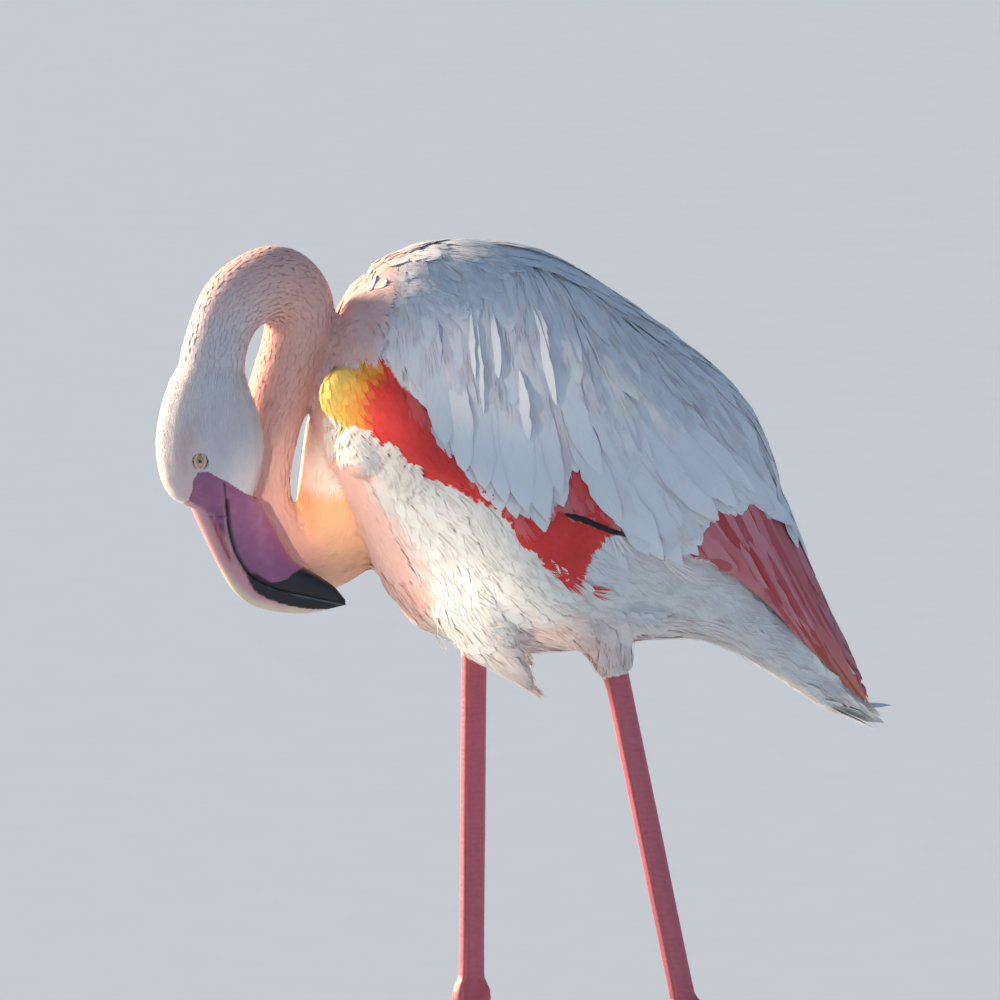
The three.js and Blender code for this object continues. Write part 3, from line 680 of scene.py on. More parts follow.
def markings(places, names=None):
    """The plumage's colour at each place on the body, for skin and coat alike, with some painted light and
    shade.
    """
    white, cream, blush, peach, crimson, orange, rose, apricot, sunlit_gold = shades(
        "plumage", "white cream blush peach crimson orange rose apricot amber")
    names = node_names(places) if names is None else names
    x, z = side_view(places)
    cloud = wander(places, 0.05, 1)
    colour = np.repeat(white[None], len(places), 0)

    trunk = named(names, "trunk", "thigh") | named(names, "scapulars") & (x < SHOULDER_BACK)
    low = 1 - step_between(745, 800, z + 10 * cloud)
    colour = mixed(colour, cream, trunk * low * 0.8)
    # Peach on the side of the breast out to the edge of the neck's shadow: partly the neck's velvet colour,
    # partly painted warm shade.
    velvet = step_between(7, -5, x - read_off(VELVET_EDGE, z) + 4 * cloud)
    colour = mixed(colour, peach, trunk * velvet * 0.85)
    # Painted warm shade: peach on the underside of the belly between the drooping tufts and the thighs.
    painted_belly_shade = np.exp(-((x - 34) / 52) ** 2) * step_between(640, 606, z)
    colour = mixed(colour, peach, trunk * painted_belly_shade * 0.5)
    glow = np.exp(-(line_distance(LORE, places) / 8) ** 2) * (names == "head")

    on_neck = named(names, "neck", "head")
    share = neck_share(places)
    warm = 0.12 + 0.88 * step_between(0.15, 0.40, share + 0.02 * cloud)
    # Apricot at the root of the neck is partly its own colour and partly painted glow of sunlight through its
    # feathers.
    skin = mixed(peach, apricot, step_between(0.64, 0.86, share))
    colour = np.where(on_neck[:, None], white + (skin - white) * warm[:, None], colour)
    colour = mixed(colour, peach, glow * 0.4)
    # Painted sunlight: cream on the left-facing part of the rising lower neck.
    painted_sunlit_rise = on_neck * step_between(0.74, 0.79, share) * step_between(693, 705, z + 5 * cloud)
    colour = mixed(colour, cream, painted_sunlit_rise * 0.85)

    wing = red_wing(places, names)
    # Orange at the bend and amber at its front edge are partly the wing's own colour and partly painted
    # sunlight on the side that faces the low sun.
    slant = x - 0.75 * np.maximum(z - 783, 0)
    bend = 1 - step_between(-114, -102, slant + 3 * cloud)
    colour = np.where(wing[:, None], mixed(crimson, orange, bend), colour)
    amber = 1 - step_between(-128, -106, x - 0.4 * np.maximum(z - 783, 0) + 4 * cloud)
    colour = mixed(colour, sunlit_gold, wing * amber)
    colour = np.where(named(names, "flight")[:, None], mixed(rose, crimson, 0.15 + 0.1 * cloud), colour)
    colour = np.where((names == "tail")[:, None], mixed(white, rose, 0.25), colour)
    colour = mixed(colour, blush, named(names, "scapulars") * (0.16 + 0.14 * cloud))
    red = mixed(crimson, rose, step_between(730, 695, z) * 0.6)
    colour = mixed(colour, red, in_notch(places, names) * 1.0)
    return colour * (1 + 0.03 * wander(places, 0.012, 2))[:, None]


def red_wing(places, names):
    """True on the small coverts of the wing, up to the slanting edge where the white of the belly begins."""
    x, z = side_view(places)
    edge = np.interp(z, (640, 664, 673, 683, 700), (44, 45, 52, 62, 78))
    below = (z < read_off(CAPE_HEM, x) - 1) & (z < read_off(BEND_TOP, x) + 200 * (x > -61))
    side = (x > -131) & (x < 20) & (np.abs(places[:, 1]) > 0.030)
    bare = ~named(names, "neck", "head") & side & below & above(COVERT_HEM, places)
    rolled = (x < -97) & ~above(COVERT_HEM, places, -4)
    return named(names, "forewing", "coverts") & (x < edge) & ~rolled | bare


def in_velvet(places, names):
    """True on the side of the breast that carries the neck's short velvet."""
    x, z = side_view(places)
    inside = (x < read_off(VELVET_EDGE, z)) & (z > 650) & (np.abs(places[:, 1]) > 0.02)
    return inside & (named(names, "trunk") | named(names, "scapulars") & (x < SHOULDER_BACK))


def in_notch(places, names):
    """True where the red feathers show between the long coverlets."""
    x, z = side_view(places)
    return named(names, "scapulars") & (x > 22) & (x < 84) & (z < read_off(CAPE_HEM, x))


# ---- Feathers ----

@functools.lru_cache(None)
def unwrapping():
    """A coarse copy of the body's surface and where its triangles' corners lie when it is laid out flat."""
    mesh = remade(node_mesh(FLESH, 0.5 * MM), LAYOUT_GRID, 4)
    piece = placed("layout", mesh)
    bpy.context.view_layer.objects.active = piece
    for other in bpy.context.selected_objects:
        other.select_set(False)
    piece.select_set(True)
    bpy.ops.object.mode_set(mode="EDIT")
    bpy.ops.mesh.select_all(action="SELECT")
    bpy.ops.uv.smart_project(angle_limit=math.radians(60), island_margin=0.004)
    bpy.ops.object.mode_set(mode="OBJECT")
    corners = triangles_of(mesh)
    loops = field(mesh.loop_triangles, "loops", 3, np.int32)
    flat = field(mesh.uv_layers.active.data, "uv", 2)
    surface = Surface(points_of(mesh), corners)
    bpy.data.objects.remove(piece)
    return surface, flat[loops]


def layout_places(places):
    """Where each place lies on the flat layout."""
    surface, flat = unwrapping()
    points, _, index = surface.nearest(places)
    a, b, c = (surface.points[surface.triangles[index, i]] for i in range(3))
    area = np.cross(b - a, c - a)
    whole = np.maximum(dot(area, area), 1e-18)
    share_a = np.clip(dot(np.cross(c - b, points - b), area) / whole, 0, 1)
    share_b = np.clip(dot(np.cross(a - c, points - c), area) / whole, 0, 1)
    shares = np.stack((share_a, share_b, np.clip(1 - share_a - share_b, 0, 1)), 1)
    return (flat[index] * shares[..., None]).sum(1)


def scattered(surface, wanted, spacing, seed):
    """Roots spread evenly over the triangles whose middles are wanted, about spacing metres apart."""
    rng = np.random.default_rng(seed)
    middles = surface.points[surface.triangles].mean(1)
    share = surface.areas * wanted(middles)
    count = int(share.sum() / spacing**2 * 4)
    picked = rng.choice(len(share), count, p=share / share.sum())
    a, b = np.sqrt(rng.random(count)), rng.random(count)
    weights = np.stack((1 - a, a * (1 - b), a * b), 1)
    corners = surface.triangles[picked]
    places = (surface.points[corners] * weights[..., None]).sum(1)
    normals = unit((surface.normals[corners] * weights[..., None]).sum(1))
    cells = np.floor(places / spacing).astype(int).tolist()
    taken, kept = {}, []
    for i, (place, (u, v, w)) in enumerate(zip(places.tolist(), cells)):
        near = (taken.get((u + du, v + dv, w + dw), ())
                for du in (-1, 0, 1) for dv in (-1, 0, 1) for dw in (-1, 0, 1))
        if all(math.dist(place, other) >= spacing for group in near for other in group):
            taken.setdefault((u, v, w), []).append(place)
            kept.append(i)
    places, normals = places[kept], normals[kept]
    held = dot(lie(places, normals), normals) < 0.8
    return places[held], normals[held]


def paths_over(surface, roots, normals, lengths, steps, way=lie, stiff=0.55):
    """Lines over the surface from the roots, the way the feathers lie. Past an edge they go straight on."""
    heading = in_plane(way(roots, normals), normals)
    places, ups = roots.copy(), normals.copy()
    free = np.zeros(len(roots), bool)
    track, lifts = [places], [ups]
    step = (lengths / steps)[:, None]
    for _ in range(steps):
        ahead = places + heading * step
        snapped, turned, _ = surface.nearest(ahead)
        free |= (dot(turned, ups) < 0.72) | (np.linalg.norm(snapped - ahead, axis=1) > 0.45 * step[:, 0])
        places = np.where(free[:, None], ahead, snapped)
        ups = np.where(free[:, None], ups, turned)
        wanted = in_plane(way(places, ups), ups)
        heading = np.where(free[:, None], heading, unit(stiff * heading + (1 - stiff) * wanted))
        heading = in_plane(heading, ups)
        track.append(places)
        lifts.append(ups)
    return np.stack(track, 1), np.stack(lifts, 1)


def flank_tracks(surface, lines, sign):
    """Lines given in x and z laid onto the outermost surface of one side, with the ways up from it."""
    places = np.insert(lines * MM, 1, 0.0, axis=2)
    aside = Vector((0, -sign, 0))
    for line in places:
        y = sign * 0.03
        for spot in line:
            hit = surface.tree.ray_cast(Vector((spot[0], sign * 0.3, spot[2])), aside)
            y = hit[0][1] if hit[0] is not None and hit[0][1] * sign > 0 else y
            spot[1] = y
    for _ in range(3):
        places[:, 1:-1, 1] = (places[:, :-2, 1] + places[:, 1:-1, 1] * 2 + places[:, 2:, 1]) / 4
    ups = surface.nearest(places.reshape(-1, 3))[1].reshape(places.shape)
    for _ in range(3):
        ups[:, 1:-1] = unit(ups[:, :-2] + ups[:, 1:-1] * 2 + ups[:, 2:])
    return places, ups


def hanging_lines(tips, steps=8):
    """Lines in x and z that end at the tips and run the way the coverlets hang; the lengths stand third."""
    tips = np.asarray(tips, float)
    places = tips[:, :2].copy()
    lines = [places]
    for _ in range(steps):
        spots = np.stack((places[:, 0], np.full(len(places), -80.0), places[:, 1]), 1) * MM
        way = cape_lie(spots)[:, [0, 2]]
        places = places - unit(way) * tips[:, 2:3] / steps
        lines.append(places)
    return np.stack(lines[::-1], 1)


def straight_lines(ends, bend=0.0, steps=8):
    """Lines in x and z between the ends, bowed upwards by a share of their length."""
    ends = np.asarray(ends, float)[:, :4]
    start, end = ends[:, None, :2], ends[:, None, 2:4]
    share = np.linspace(0, 1, steps + 1)[None, :, None]
    across = (end - start)[..., ::-1] * (-1, 1)
    return start + (end - start) * share + across * bend * share * (1 - share)


def along(track, share):
    """The points at shares of the way along each track. Share has a row for each track."""
    place = np.clip(share, 0, 1) * (track.shape[1] - 1 - 1e-6)
    low = place.astype(int)
    part = (place - low)[..., None]
    row = np.arange(len(track)).reshape((-1,) + (1,) * (share.ndim - 1))
    return track[row, low] * (1 - part) + track[row, low + 1] * part


def soften(mesh, ups, softness):
    """Turns the shading of each face towards the side of the body that it lies on, as soft feathers look."""
    sizes = field(mesh.polygons, "loop_total", kind=np.int32)
    faces = np.repeat(field(mesh.polygons, "normal", 3), sizes, axis=0)
    corners = corners_of(mesh)
    own, ups = field(mesh.vertices, "normal", 3)[corners], ups[corners]
    own = np.where((dot(own, faces) > 0.3)[:, None], own, faces)
    ups = ups * np.where(dot(faces, ups) < -0.35, -1, 1)[:, None]
    mesh.normals_split_custom_set(unit(mixed(own, ups, softness)))


class Coat:
    """Feathers gathered into one mesh, with what each of their points carries."""

    def __init__(self, name):
        self.name, self.count = name, 0
        self.points, self.blocks, self.tones = [], {}, []
        self.carried = {"bake": [], "barbs": [], "colours": [], "ups": []}

    def sweep(self, loops, tips, tones, **carried):
        """Adds closed solids: rings of corners along each feather, closed by a cap or a tip."""
        feathers, rings, corners, _ = loops.shape
        grid, quads = ring_faces(rings, corners)
        blocks = [quads, grid[:1]]
        points = loops.reshape(feathers, -1, 3)
        if tips is None:
            blocks.append(grid[-1:, ::-1])
        else:
            tip = np.full(corners, rings * corners)
            blocks.append(np.stack((grid[-1], tip, np.roll(grid[-1], -1)), -1))
            points = np.concatenate((points, tips[:, None]), 1)
        for what, values in carried.items():
            values = values.reshape(feathers, rings * corners, -1)
            if tips is not None:
                values = np.concatenate((values, values[:, -corners:].mean(1, keepdims=True)), 1)
            self.carried[what].append(values.reshape(-1, values.shape[-1]))
        per = points.shape[1]
        start = self.count + np.arange(feathers)[:, None, None] * per
        for block in blocks:
            corners = block.shape[1]
            self.blocks.setdefault(corners, []).append((block[None] + start).reshape(-1, corners))
        self.points.append(points.reshape(-1, 3))
        self.tones.append(np.repeat(tones, per))
        self.count += feathers * per

    def piece(self, slot, finish, softness=0.6):
        """Makes the coat's mesh and places it, its shading softened by a share."""
        blocks = [np.concatenate(block) for block in self.blocks.values()]
        triangles = sum(len(block) * (block.shape[1] - 2) for block in blocks)
        if triangles >= MOST_TRIANGLES:
            raise RuntimeError(f"{self.name} has {triangles} triangles")
        print(f"{self.name}: {triangles} triangles")
        mesh = mesh_of(self.name, np.concatenate(self.points), blocks)
        carried = {what: np.concatenate(values) for what, values in self.carried.items()}
        add_uv(mesh, "OFBake", carried["bake"])
        add_uv(mesh, "Barbs", carried["barbs"])
        add_colour(mesh, "Marking", carried["colours"])
        add_value(mesh, "Tone", np.concatenate(self.tones))
        soften(mesh, carried["ups"], softness)
        standing(mesh, [plumage_material(finish)])


def add_tufts(coat, surface, roots, normals, lengths, colours, rng, strands=10, fan=0.26, half=0.0007,
              depth=0.001, lift=0.03, curl=0.03, rings=3, steps=5, proud=0.0001, tips=None, way=lie,
              ridge=0.3):
    """Tufts of thin strands that fan out from each root and lie along the body."""
    track, ups = paths_over(surface, roots, normals, lengths, steps, way)
    share = np.linspace(0, 1, steps + 1)[None, :, None]
    track = track + ups * (proud * share**1.5 - np.reshape(depth, (-1, 1, 1)) * (1 - share) ** 1.5)
    ways = unit(np.gradient(track, axis=1))
    count = len(roots)
    place = np.linspace(-1, 1, strands) if strands > 1 else np.zeros(1)
    place = place + rng.uniform(-0.6, 0.6, (count, strands)) / max(strands - 1, 2)
    reach = 1 - 0.25 * place**2 - rng.uniform(0, 0.25, (count, strands))
    steps_along = np.linspace(0, 1, rings + 1)
    at = steps_along[None, None] * reach[..., None]
    middle, up, forward = along(track, at), unit(along(ups, at)), unit(along(ways, at))
    side = unit(np.cross(forward, up))
    size = lengths[:, None, None]
    bend = rng.normal(0, curl, (count, 1)) + rng.normal(0, curl * 0.45, (count, strands))
    across = size * (fan * place[..., None] * at**0.8 + bend[..., None] * at**2)
    rise = size * at**2 * lift * rng.uniform(-0.2, 1, (count, strands))[..., None]
    middle = middle + side * across[..., None] + up * rise[..., None]
    form = np.interp(steps_along, (0, 0.45, 1), (0.75, 1, 0.55))
    width = half * form * rng.uniform(0.75, 1.25, (count, strands))[..., None]
    offsets = ((-1, 0), (1, 0), (0, ridge))
    loops = np.stack([middle + side * (a * width)[..., None] + up * (b * width)[..., None]
                      for a, b in offsets], 3)
    flat = layout_places(roots)[:, None, None, None]
    a = place[..., None, None] * 0.8 + np.array([o[0] for o in offsets]) * 0.15
    b = np.broadcast_to((at * 2 - 1)[..., None], np.broadcast_shapes(a.shape, at[..., None].shape))
    bake = flat + np.stack(np.broadcast_arrays(a, b), -1) * PATCH / 2
    barbs = np.stack(np.broadcast_arrays(a * 0.5 + 0.5, at[..., None] + 0 * a), -1)
    ends = colours if tips is None else tips
    paint = mixed(colours[:, None, None, None], ends[:, None, None, None], (at**1.2)[..., None] + 0 * a)
    tone = np.repeat(rng.random(count), strands)
    lifts = np.broadcast_to(up[:, :, :, None], loops.shape)
    body, bake, barbs, paint, lifts = (values[:, :, :-1].reshape(-1, rings, 3, values.shape[-1])
                                       for values in (loops, bake, barbs, paint, lifts))
    coat.sweep(body, middle[:, :, -1].reshape(-1, 3), tone, bake=bake, barbs=barbs, colours=paint, ups=lifts)


def add_vanes(coat, surface, roots, normals, lengths, half, colours, rng, tips=None, depth=0.003,
              proud=0.0002, rings=9, columns=5, point=0.4, widest=0.45, notch=0.12, camber=0.03, roll=0.03,
              tilt=0.0, way=lie, stiff=0.75, thick=0.0005, tracks=None, late=1.0, jitter=0.0005):
    """Flat feathers with a shaft ridge, a slight arch and a frayed edge."""
    track, ups = tracks or paths_over(surface, roots, normals, lengths, 8, way, stiff)
    share = np.linspace(0, 1, track.shape[1])[None, :, None]
    proud = np.reshape(proud, (-1, 1, 1)) + rng.uniform(0, jitter, (len(track), 1, 1))
    track = track + ups * (proud * share - np.reshape(depth, (-1, 1, 1)) * (1 - share) ** 1.3)
    count = len(track)
    steps = np.linspace(0, 1, rings)
    at = np.broadcast_to(steps, (count, rings))
    middle, up = along(track, at), unit(along(ups, at))
    forward = unit(along(unit(np.gradient(track, axis=1)), at))
    side = unit(np.cross(forward, up))
    turn = (rng.normal(0, roll, (count, 1)) + tilt)[..., None]
    side, up = unit(side + up * turn), unit(up - side * turn)
    form = np.interp(steps, (0, 0.12, widest, 0.5 * (widest + 1), 0.93, 1),
                     (0.18, 0.6, 1, 0.82 + 0.1 * (1 - point), 0.55 * (1.25 - point), 0.07))
    across = np.linspace(-1, 1, columns)
    ragged = 1 - notch * rng.random((count, rings, 2)) ** 2 * 2 * np.clip(steps * 1.6, 0, 1)[None, :, None]
    width = np.reshape(half, (-1, 1, 1)) * form[None, :, None]
    reach = across * np.where(across < 0, ragged[..., :1], ragged[..., 1:]) * width
    sweep_back = -0.10 * width * np.abs(across) ** 1.5
    shaft = thick * 0.8 * (np.abs(across) < 0.01) * (1 - steps)[None, :, None]
    arch = camber * width * (1 - across**2) + shaft
    top = middle[:, :, None] + side[:, :, None] * reach[..., None] + up[:, :, None] * arch[..., None] \
        + forward[:, :, None] * sweep_back[..., None]
    under = top - up[:, :, None] * (thick * (1 - across**2) + 0.00005)[None, None, :, None]
    loops = np.concatenate((top[:, :, :1], under[:, :, 1:-1], top[:, :, :0:-1]), 2)
    order = np.concatenate((across[:1], across[1:-1], across[:0:-1]))
    flat = layout_places(track[:, 0])[:, None, None]
    a = np.broadcast_to(order, loops.shape[:3])
    b = np.broadcast_to((steps * 2 - 1)[None, :, None], loops.shape[:3])
    bake = flat + np.stack((a, b), -1) * PATCH / 2
    barbs = np.stack((a * 0.5 + 0.5, (b * 0.5 + 0.5) * np.reshape(lengths, (-1, 1, 1)) / 0.05), -1)
    ends = colours if tips is None else tips
    paint = mixed(colours[:, None, None], ends[:, None, None], (b * 0.5 + 0.5) ** late)
    lifts = np.broadcast_to(up[:, :, None], loops.shape)
    coat.sweep(loops, None, rng.random(count), bake=bake, barbs=barbs, colours=paint, ups=lifts)


# ---- Materials ----

def node(tree, kind, inputs=None, **options):
    """A new node with its options set, and its inputs filled with values or linked to sockets."""
    made = tree.nodes.new(kind)
    for name, value in options.items():
        setattr(made, name, value)
    for name, value in (inputs or {}).items():
        if isinstance(value, bpy.types.NodeSocket):
            tree.links.new(value, made.inputs[name])
        else:
            made.inputs[name].default_value = value
    return made


def maths(tree, operation, *values):
    return node(tree, "ShaderNodeMath", dict(enumerate(values)), operation=operation).outputs[0]


def blended(tree, share, a, b, mode="MIX"):
    return node(tree, "ShaderNodeMix", {0: share, 6: a, 7: b}, data_type="RGBA", blend_type=mode).outputs[2]


def lightened(tree, colour, gain):
    """The colour multiplied by a grey gain."""
    grey = node(tree, "ShaderNodeCombineColor", {0: gain, 1: gain, 2: gain})
    return blended(tree, 1.0, colour, grey.outputs[0], "MULTIPLY")


def new_group(name, inputs, outputs):
    """An empty node group with named sockets, and its input and output nodes."""
    group = bpy.data.node_groups.new(name, "ShaderNodeTree")
    for label, kind, default in inputs:
        socket = group.interface.new_socket(label, in_out="INPUT", socket_type="NodeSocket" + kind)
        if default is not None:
            socket.default_value = default
    for label, kind in outputs:
        group.interface.new_socket(label, in_out="OUTPUT", socket_type="NodeSocket" + kind)
    return group, group.nodes.new("NodeGroupInput"), group.nodes.new("NodeGroupOutput")


@functools.lru_cache(None)
def barb_group():
    """Fine barbs that slant away from a feather's shaft, with the small changes of colour along them."""
    group, given, result = new_group(
        "Feather barbs",
        (("Colour", "Color", None), ("Barbs", "Vector", None), ("Tone", "Float", 0.5),
         ("Streaks", "Float", 0.3)),
        (("Colour", "Color"), ("Height", "Float")))
    calc = functools.partial(maths, group)
    tone = given.outputs["Tone"]
    parts = node(group, "ShaderNodeSeparateXYZ", {0: given.outputs["Barbs"]})
    off = calc("ABSOLUTE", calc("SUBTRACT", parts.outputs[0], 0.5))
    slant = calc("SUBTRACT", parts.outputs[1], calc("MULTIPLY", off, 1.3))
    shifted = calc("ADD", slant, calc("MULTIPLY", tone, 37.0))
    along_barb = node(group, "ShaderNodeCombineXYZ",
                      {0: calc("MULTIPLY", shifted, 26.0), 1: off, 2: calc("MULTIPLY", tone, 11.0)})
    noise = node(group, "ShaderNodeTexNoise", {"Vector": along_barb.outputs[0], "Scale": 1.0, "Detail": 3.0})
    fine = calc("SINE", calc("MULTIPLY", shifted, 420.0))
    light = calc("MULTIPLY", calc("SUBTRACT", noise.outputs[0], 0.5), given.outputs["Streaks"])
    own = calc("MULTIPLY", calc("SUBTRACT", tone, 0.5), 0.07)
    gain = calc("ADD", calc("ADD", light, own), 1.0)
    group.links.new(lightened(group, given.outputs["Colour"], gain), result.inputs["Colour"])
    height = calc("ADD", calc("MULTIPLY", noise.outputs[0], 0.95), calc("MULTIPLY", fine, 0.05))
    group.links.new(height, result.inputs["Height"])
    return group


@functools.lru_cache(None)
def grain_group():
    """The uneven grain of horn and bare skin: large soft patches and fine pits."""
    group, given, result = new_group(
        "Grain", (("Size", "Float", 0.002), ("Colour", "Color", None), ("Patches", "Float", 0.2)),
        (("Colour", "Color"), ("Height", "Float"), ("Mask", "Float")))
    calc = functools.partial(maths, group)
    place = node(group, "ShaderNodeTexCoord").outputs["Object"]
    scale = calc("DIVIDE", 1.0, given.outputs["Size"])
    fine = node(group, "ShaderNodeTexNoise", {"Vector": place, "Scale": scale, "Detail": 4.0}).outputs[0]
    coarse = calc("MULTIPLY", scale, 0.16)
    wide = node(group, "ShaderNodeTexNoise", {"Vector": place, "Scale": coarse, "Detail": 3.0}).outputs[0]
    mask = calc("ADD", calc("MULTIPLY", fine, 0.35), calc("MULTIPLY", wide, 0.65))
    swing = calc("MULTIPLY", calc("SUBTRACT", mask, 0.5), given.outputs["Patches"])
    gain = calc("ADD", calc("MULTIPLY", swing, 2.0), 1.0)
    group.links.new(lightened(group, given.outputs["Colour"], gain), result.inputs["Colour"])
    group.links.new(fine, result.inputs["Height"])
    group.links.new(mask, result.inputs["Mask"])
    return group


def grouped(tree, group, inputs):
    return node(tree, "ShaderNodeGroup", inputs, node_tree=group).outputs


def new_material(name, constants):
    """A material with its constant values on the shader's own sockets."""
    material = bpy.data.materials.new(name)
    material.use_nodes = True
    shader = material.node_tree.nodes["Principled BSDF"]
    for label, value in constants.items():
        shader.inputs[label].default_value = value
    return material, material.node_tree, shader


def attribute(tree, name, output="Color"):
    return node(tree, "ShaderNodeAttribute", attribute_name=name).outputs[output]


def dressed(tree, shader, effect, mask, swing, rough, strength, distance):
    """Feeds an effect's colour and relief to the shader, and a roughness that rises with a mask."""
    bump = node(tree, "ShaderNodeBump",
                {"Height": effect["Height"], "Strength": strength, "Distance": distance})
    roughness = maths(tree, "ADD", maths(tree, "MULTIPLY", mask, swing), rough)
    tree.links.new(effect["Colour"], shader.inputs["Base Color"])
    tree.links.new(roughness, shader.inputs["Roughness"])
    tree.links.new(bump.outputs[0], shader.inputs["Normal"])


@functools.lru_cache(None)
def plumage_material(name):
    """The material of one kind of plumage, finished as its row says."""
    roughness, streaks, bump = FINISHES[name]
    material, tree, shader = new_material(name, PLUMAGE_SHADER)
    barbs = node(tree, "ShaderNodeUVMap", uv_map="Barbs").outputs[0]
    feather = grouped(tree, barb_group(), {"Colour": attribute(tree, "Marking"), "Barbs": barbs,
                                           "Tone": attribute(tree, "Tone", "Fac"), "Streaks": streaks})
    dressed(tree, shader, feather, feather["Height"], 0.15, roughness, 0.35, bump)
    return material


@functools.lru_cache(None)
def grained_material(name, colour=None):
    """Horn or bare skin as its row says, over its painted marking or over one colour."""
    size, patches, rough, swing, bump, depth, constants = GRAINS[name]
    material, tree, shader = new_material(name, constants)
    grain = grouped(tree, grain_group(), {
        "Size": size, "Colour": colour or attribute(tree, "Marking"), "Patches": patches})
    dressed(tree, shader, grain, grain["Mask"], swing, rough, bump, depth)
    return material


# ---- Settings a user would change ----

def tint(name, description, value):
    return FloatVectorProperty(name=name, description=description, default=value, subtype="COLOR", size=3,
                               min=0, max=1)


def length(name, description, value):
    return FloatProperty(name=name, description=description, default=value, unit="LENGTH",
                         subtype="DISTANCE", min=0)


class FlamingoPlumage(bpy.types.PropertyGroup):
    white: tint("White", "Wing coverlets and back", (0.82, 0.79, 0.79))
    cream: tint("Cream", "Down of the breast and belly", (0.88, 0.82, 0.74))
    blush: tint("Blush", "Shoulders and the shade between the long feathers", (0.84, 0.60, 0.57))
    peach: tint("Peach", "Neck", (0.96, 0.53, 0.43))
    crimson: tint("Crimson", "Wing coverts", (0.80, 0.045, 0.040))
    orange: tint("Orange", "Bend of the wing", (1.0, 0.32, 0.03))
    # Partly painted glow of sunlight through the feathers at the root of the neck.
    apricot: tint("Apricot", "Root of the neck", (1.0, 0.52, 0.26))
    # Partly painted sunlight on the front edge of the bend.
    amber: tint("Amber", "Front edge of the bend of the wing", (1.0, 0.66, 0.14))
    rose: tint("Rose", "Rear wing feathers", (0.70, 0.25, 0.29))
    black: tint("Black", "Flight feathers", (0.015, 0.012, 0.012))
    down_gap: length("Down spacing", "Distance between tufts of down", 0.0066)
    neck_gap: length("Neck spacing", "Distance between tufts on the neck", 0.0026)
    head_gap: length("Head spacing", "Distance between feathers on the head", 0.0014)


class FlamingoHead(bpy.types.PropertyGroup):
    bill_rose: tint("Bill rose", "Upper half of the bill", (0.74, 0.33, 0.36))
    bill_mauve: tint("Bill mauve", "Lower half of the bill and the bare face", (0.35, 0.105, 0.215))
    bill_pale: tint("Bill pale", "Ridge and lips of the bill", (0.82, 0.50, 0.46))
    bill_red: tint("Bill red", "Nostril groove", (0.55, 0.08, 0.12))
    bill_cream: tint("Bill cream", "Outer end of the ridge", (0.90, 0.72, 0.50))
    bill_black: tint("Bill black", "Tip of the bill", (0.012, 0.010, 0.011))
    iris: tint("Iris", "Pale ring of the eye", (0.66, 0.44, 0.20))
    lid: tint("Lid", "Bare rim around the eye", (0.82, 0.52, 0.38))
    eye_radius: length("Eye radius", "Radius of the eyeball", 0.0052)


class FlamingoLegs(bpy.types.PropertyGroup):
    skin: tint("Leg pink", "Scaled skin of the legs", (0.58, 0.13, 0.165))
    joint: tint("Leg joint", "Darker skin over the joints", (0.50, 0.09, 0.11))
    scale: length("Scale size", "Height of one scale of the leg", 0.0042)
    horn: tint("Horn", "Claws", (0.05, 0.035, 0.03))


class FlamingoStage(bpy.types.PropertyGroup):
    elevation: FloatProperty(name="Elevation", description="Camera height above the horizon",
                             default=math.radians(8), subtype="ANGLE", unit="ROTATION")
    distance: length("Distance", "Camera distance", 8.0)
    lens: FloatProperty(name="Lens", description="Camera focal length", default=411.0, unit="CAMERA", min=1)
    key_power: FloatProperty(name="Key strength", description="Low warm light from the front of the bird",
                             default=11.0, min=0)
    fill_power: FloatProperty(name="Fill power", description="Wide cool light from the camera's side",
                              default=26.0, unit="POWER", min=0)
    spot_power: FloatProperty(name="Spot power", description="Warm pools of light on the breast",
                              default=450.0, unit="POWER", min=0)
    floor: tint("Floor", "Plain pale floor", (0.52, 0.61, 0.72))


# ---- Stage ----

def aimed(name, data, place, target):
    """A new camera or light that looks at its target."""
    made = placed(name, data)
    made.location = place
    made.rotation_euler = (Vector(target) - Vector(place)).to_track_quat("-Z", "Y").to_euler()
    return made


def soft_light(kind, name, place, target, power, colour, **options):
    light = bpy.data.lights.new(name, kind)
    light.energy, light.color = power, colour
    for option, value in options.items():
        setattr(light, option, value)
    return aimed(name, light, place, target)


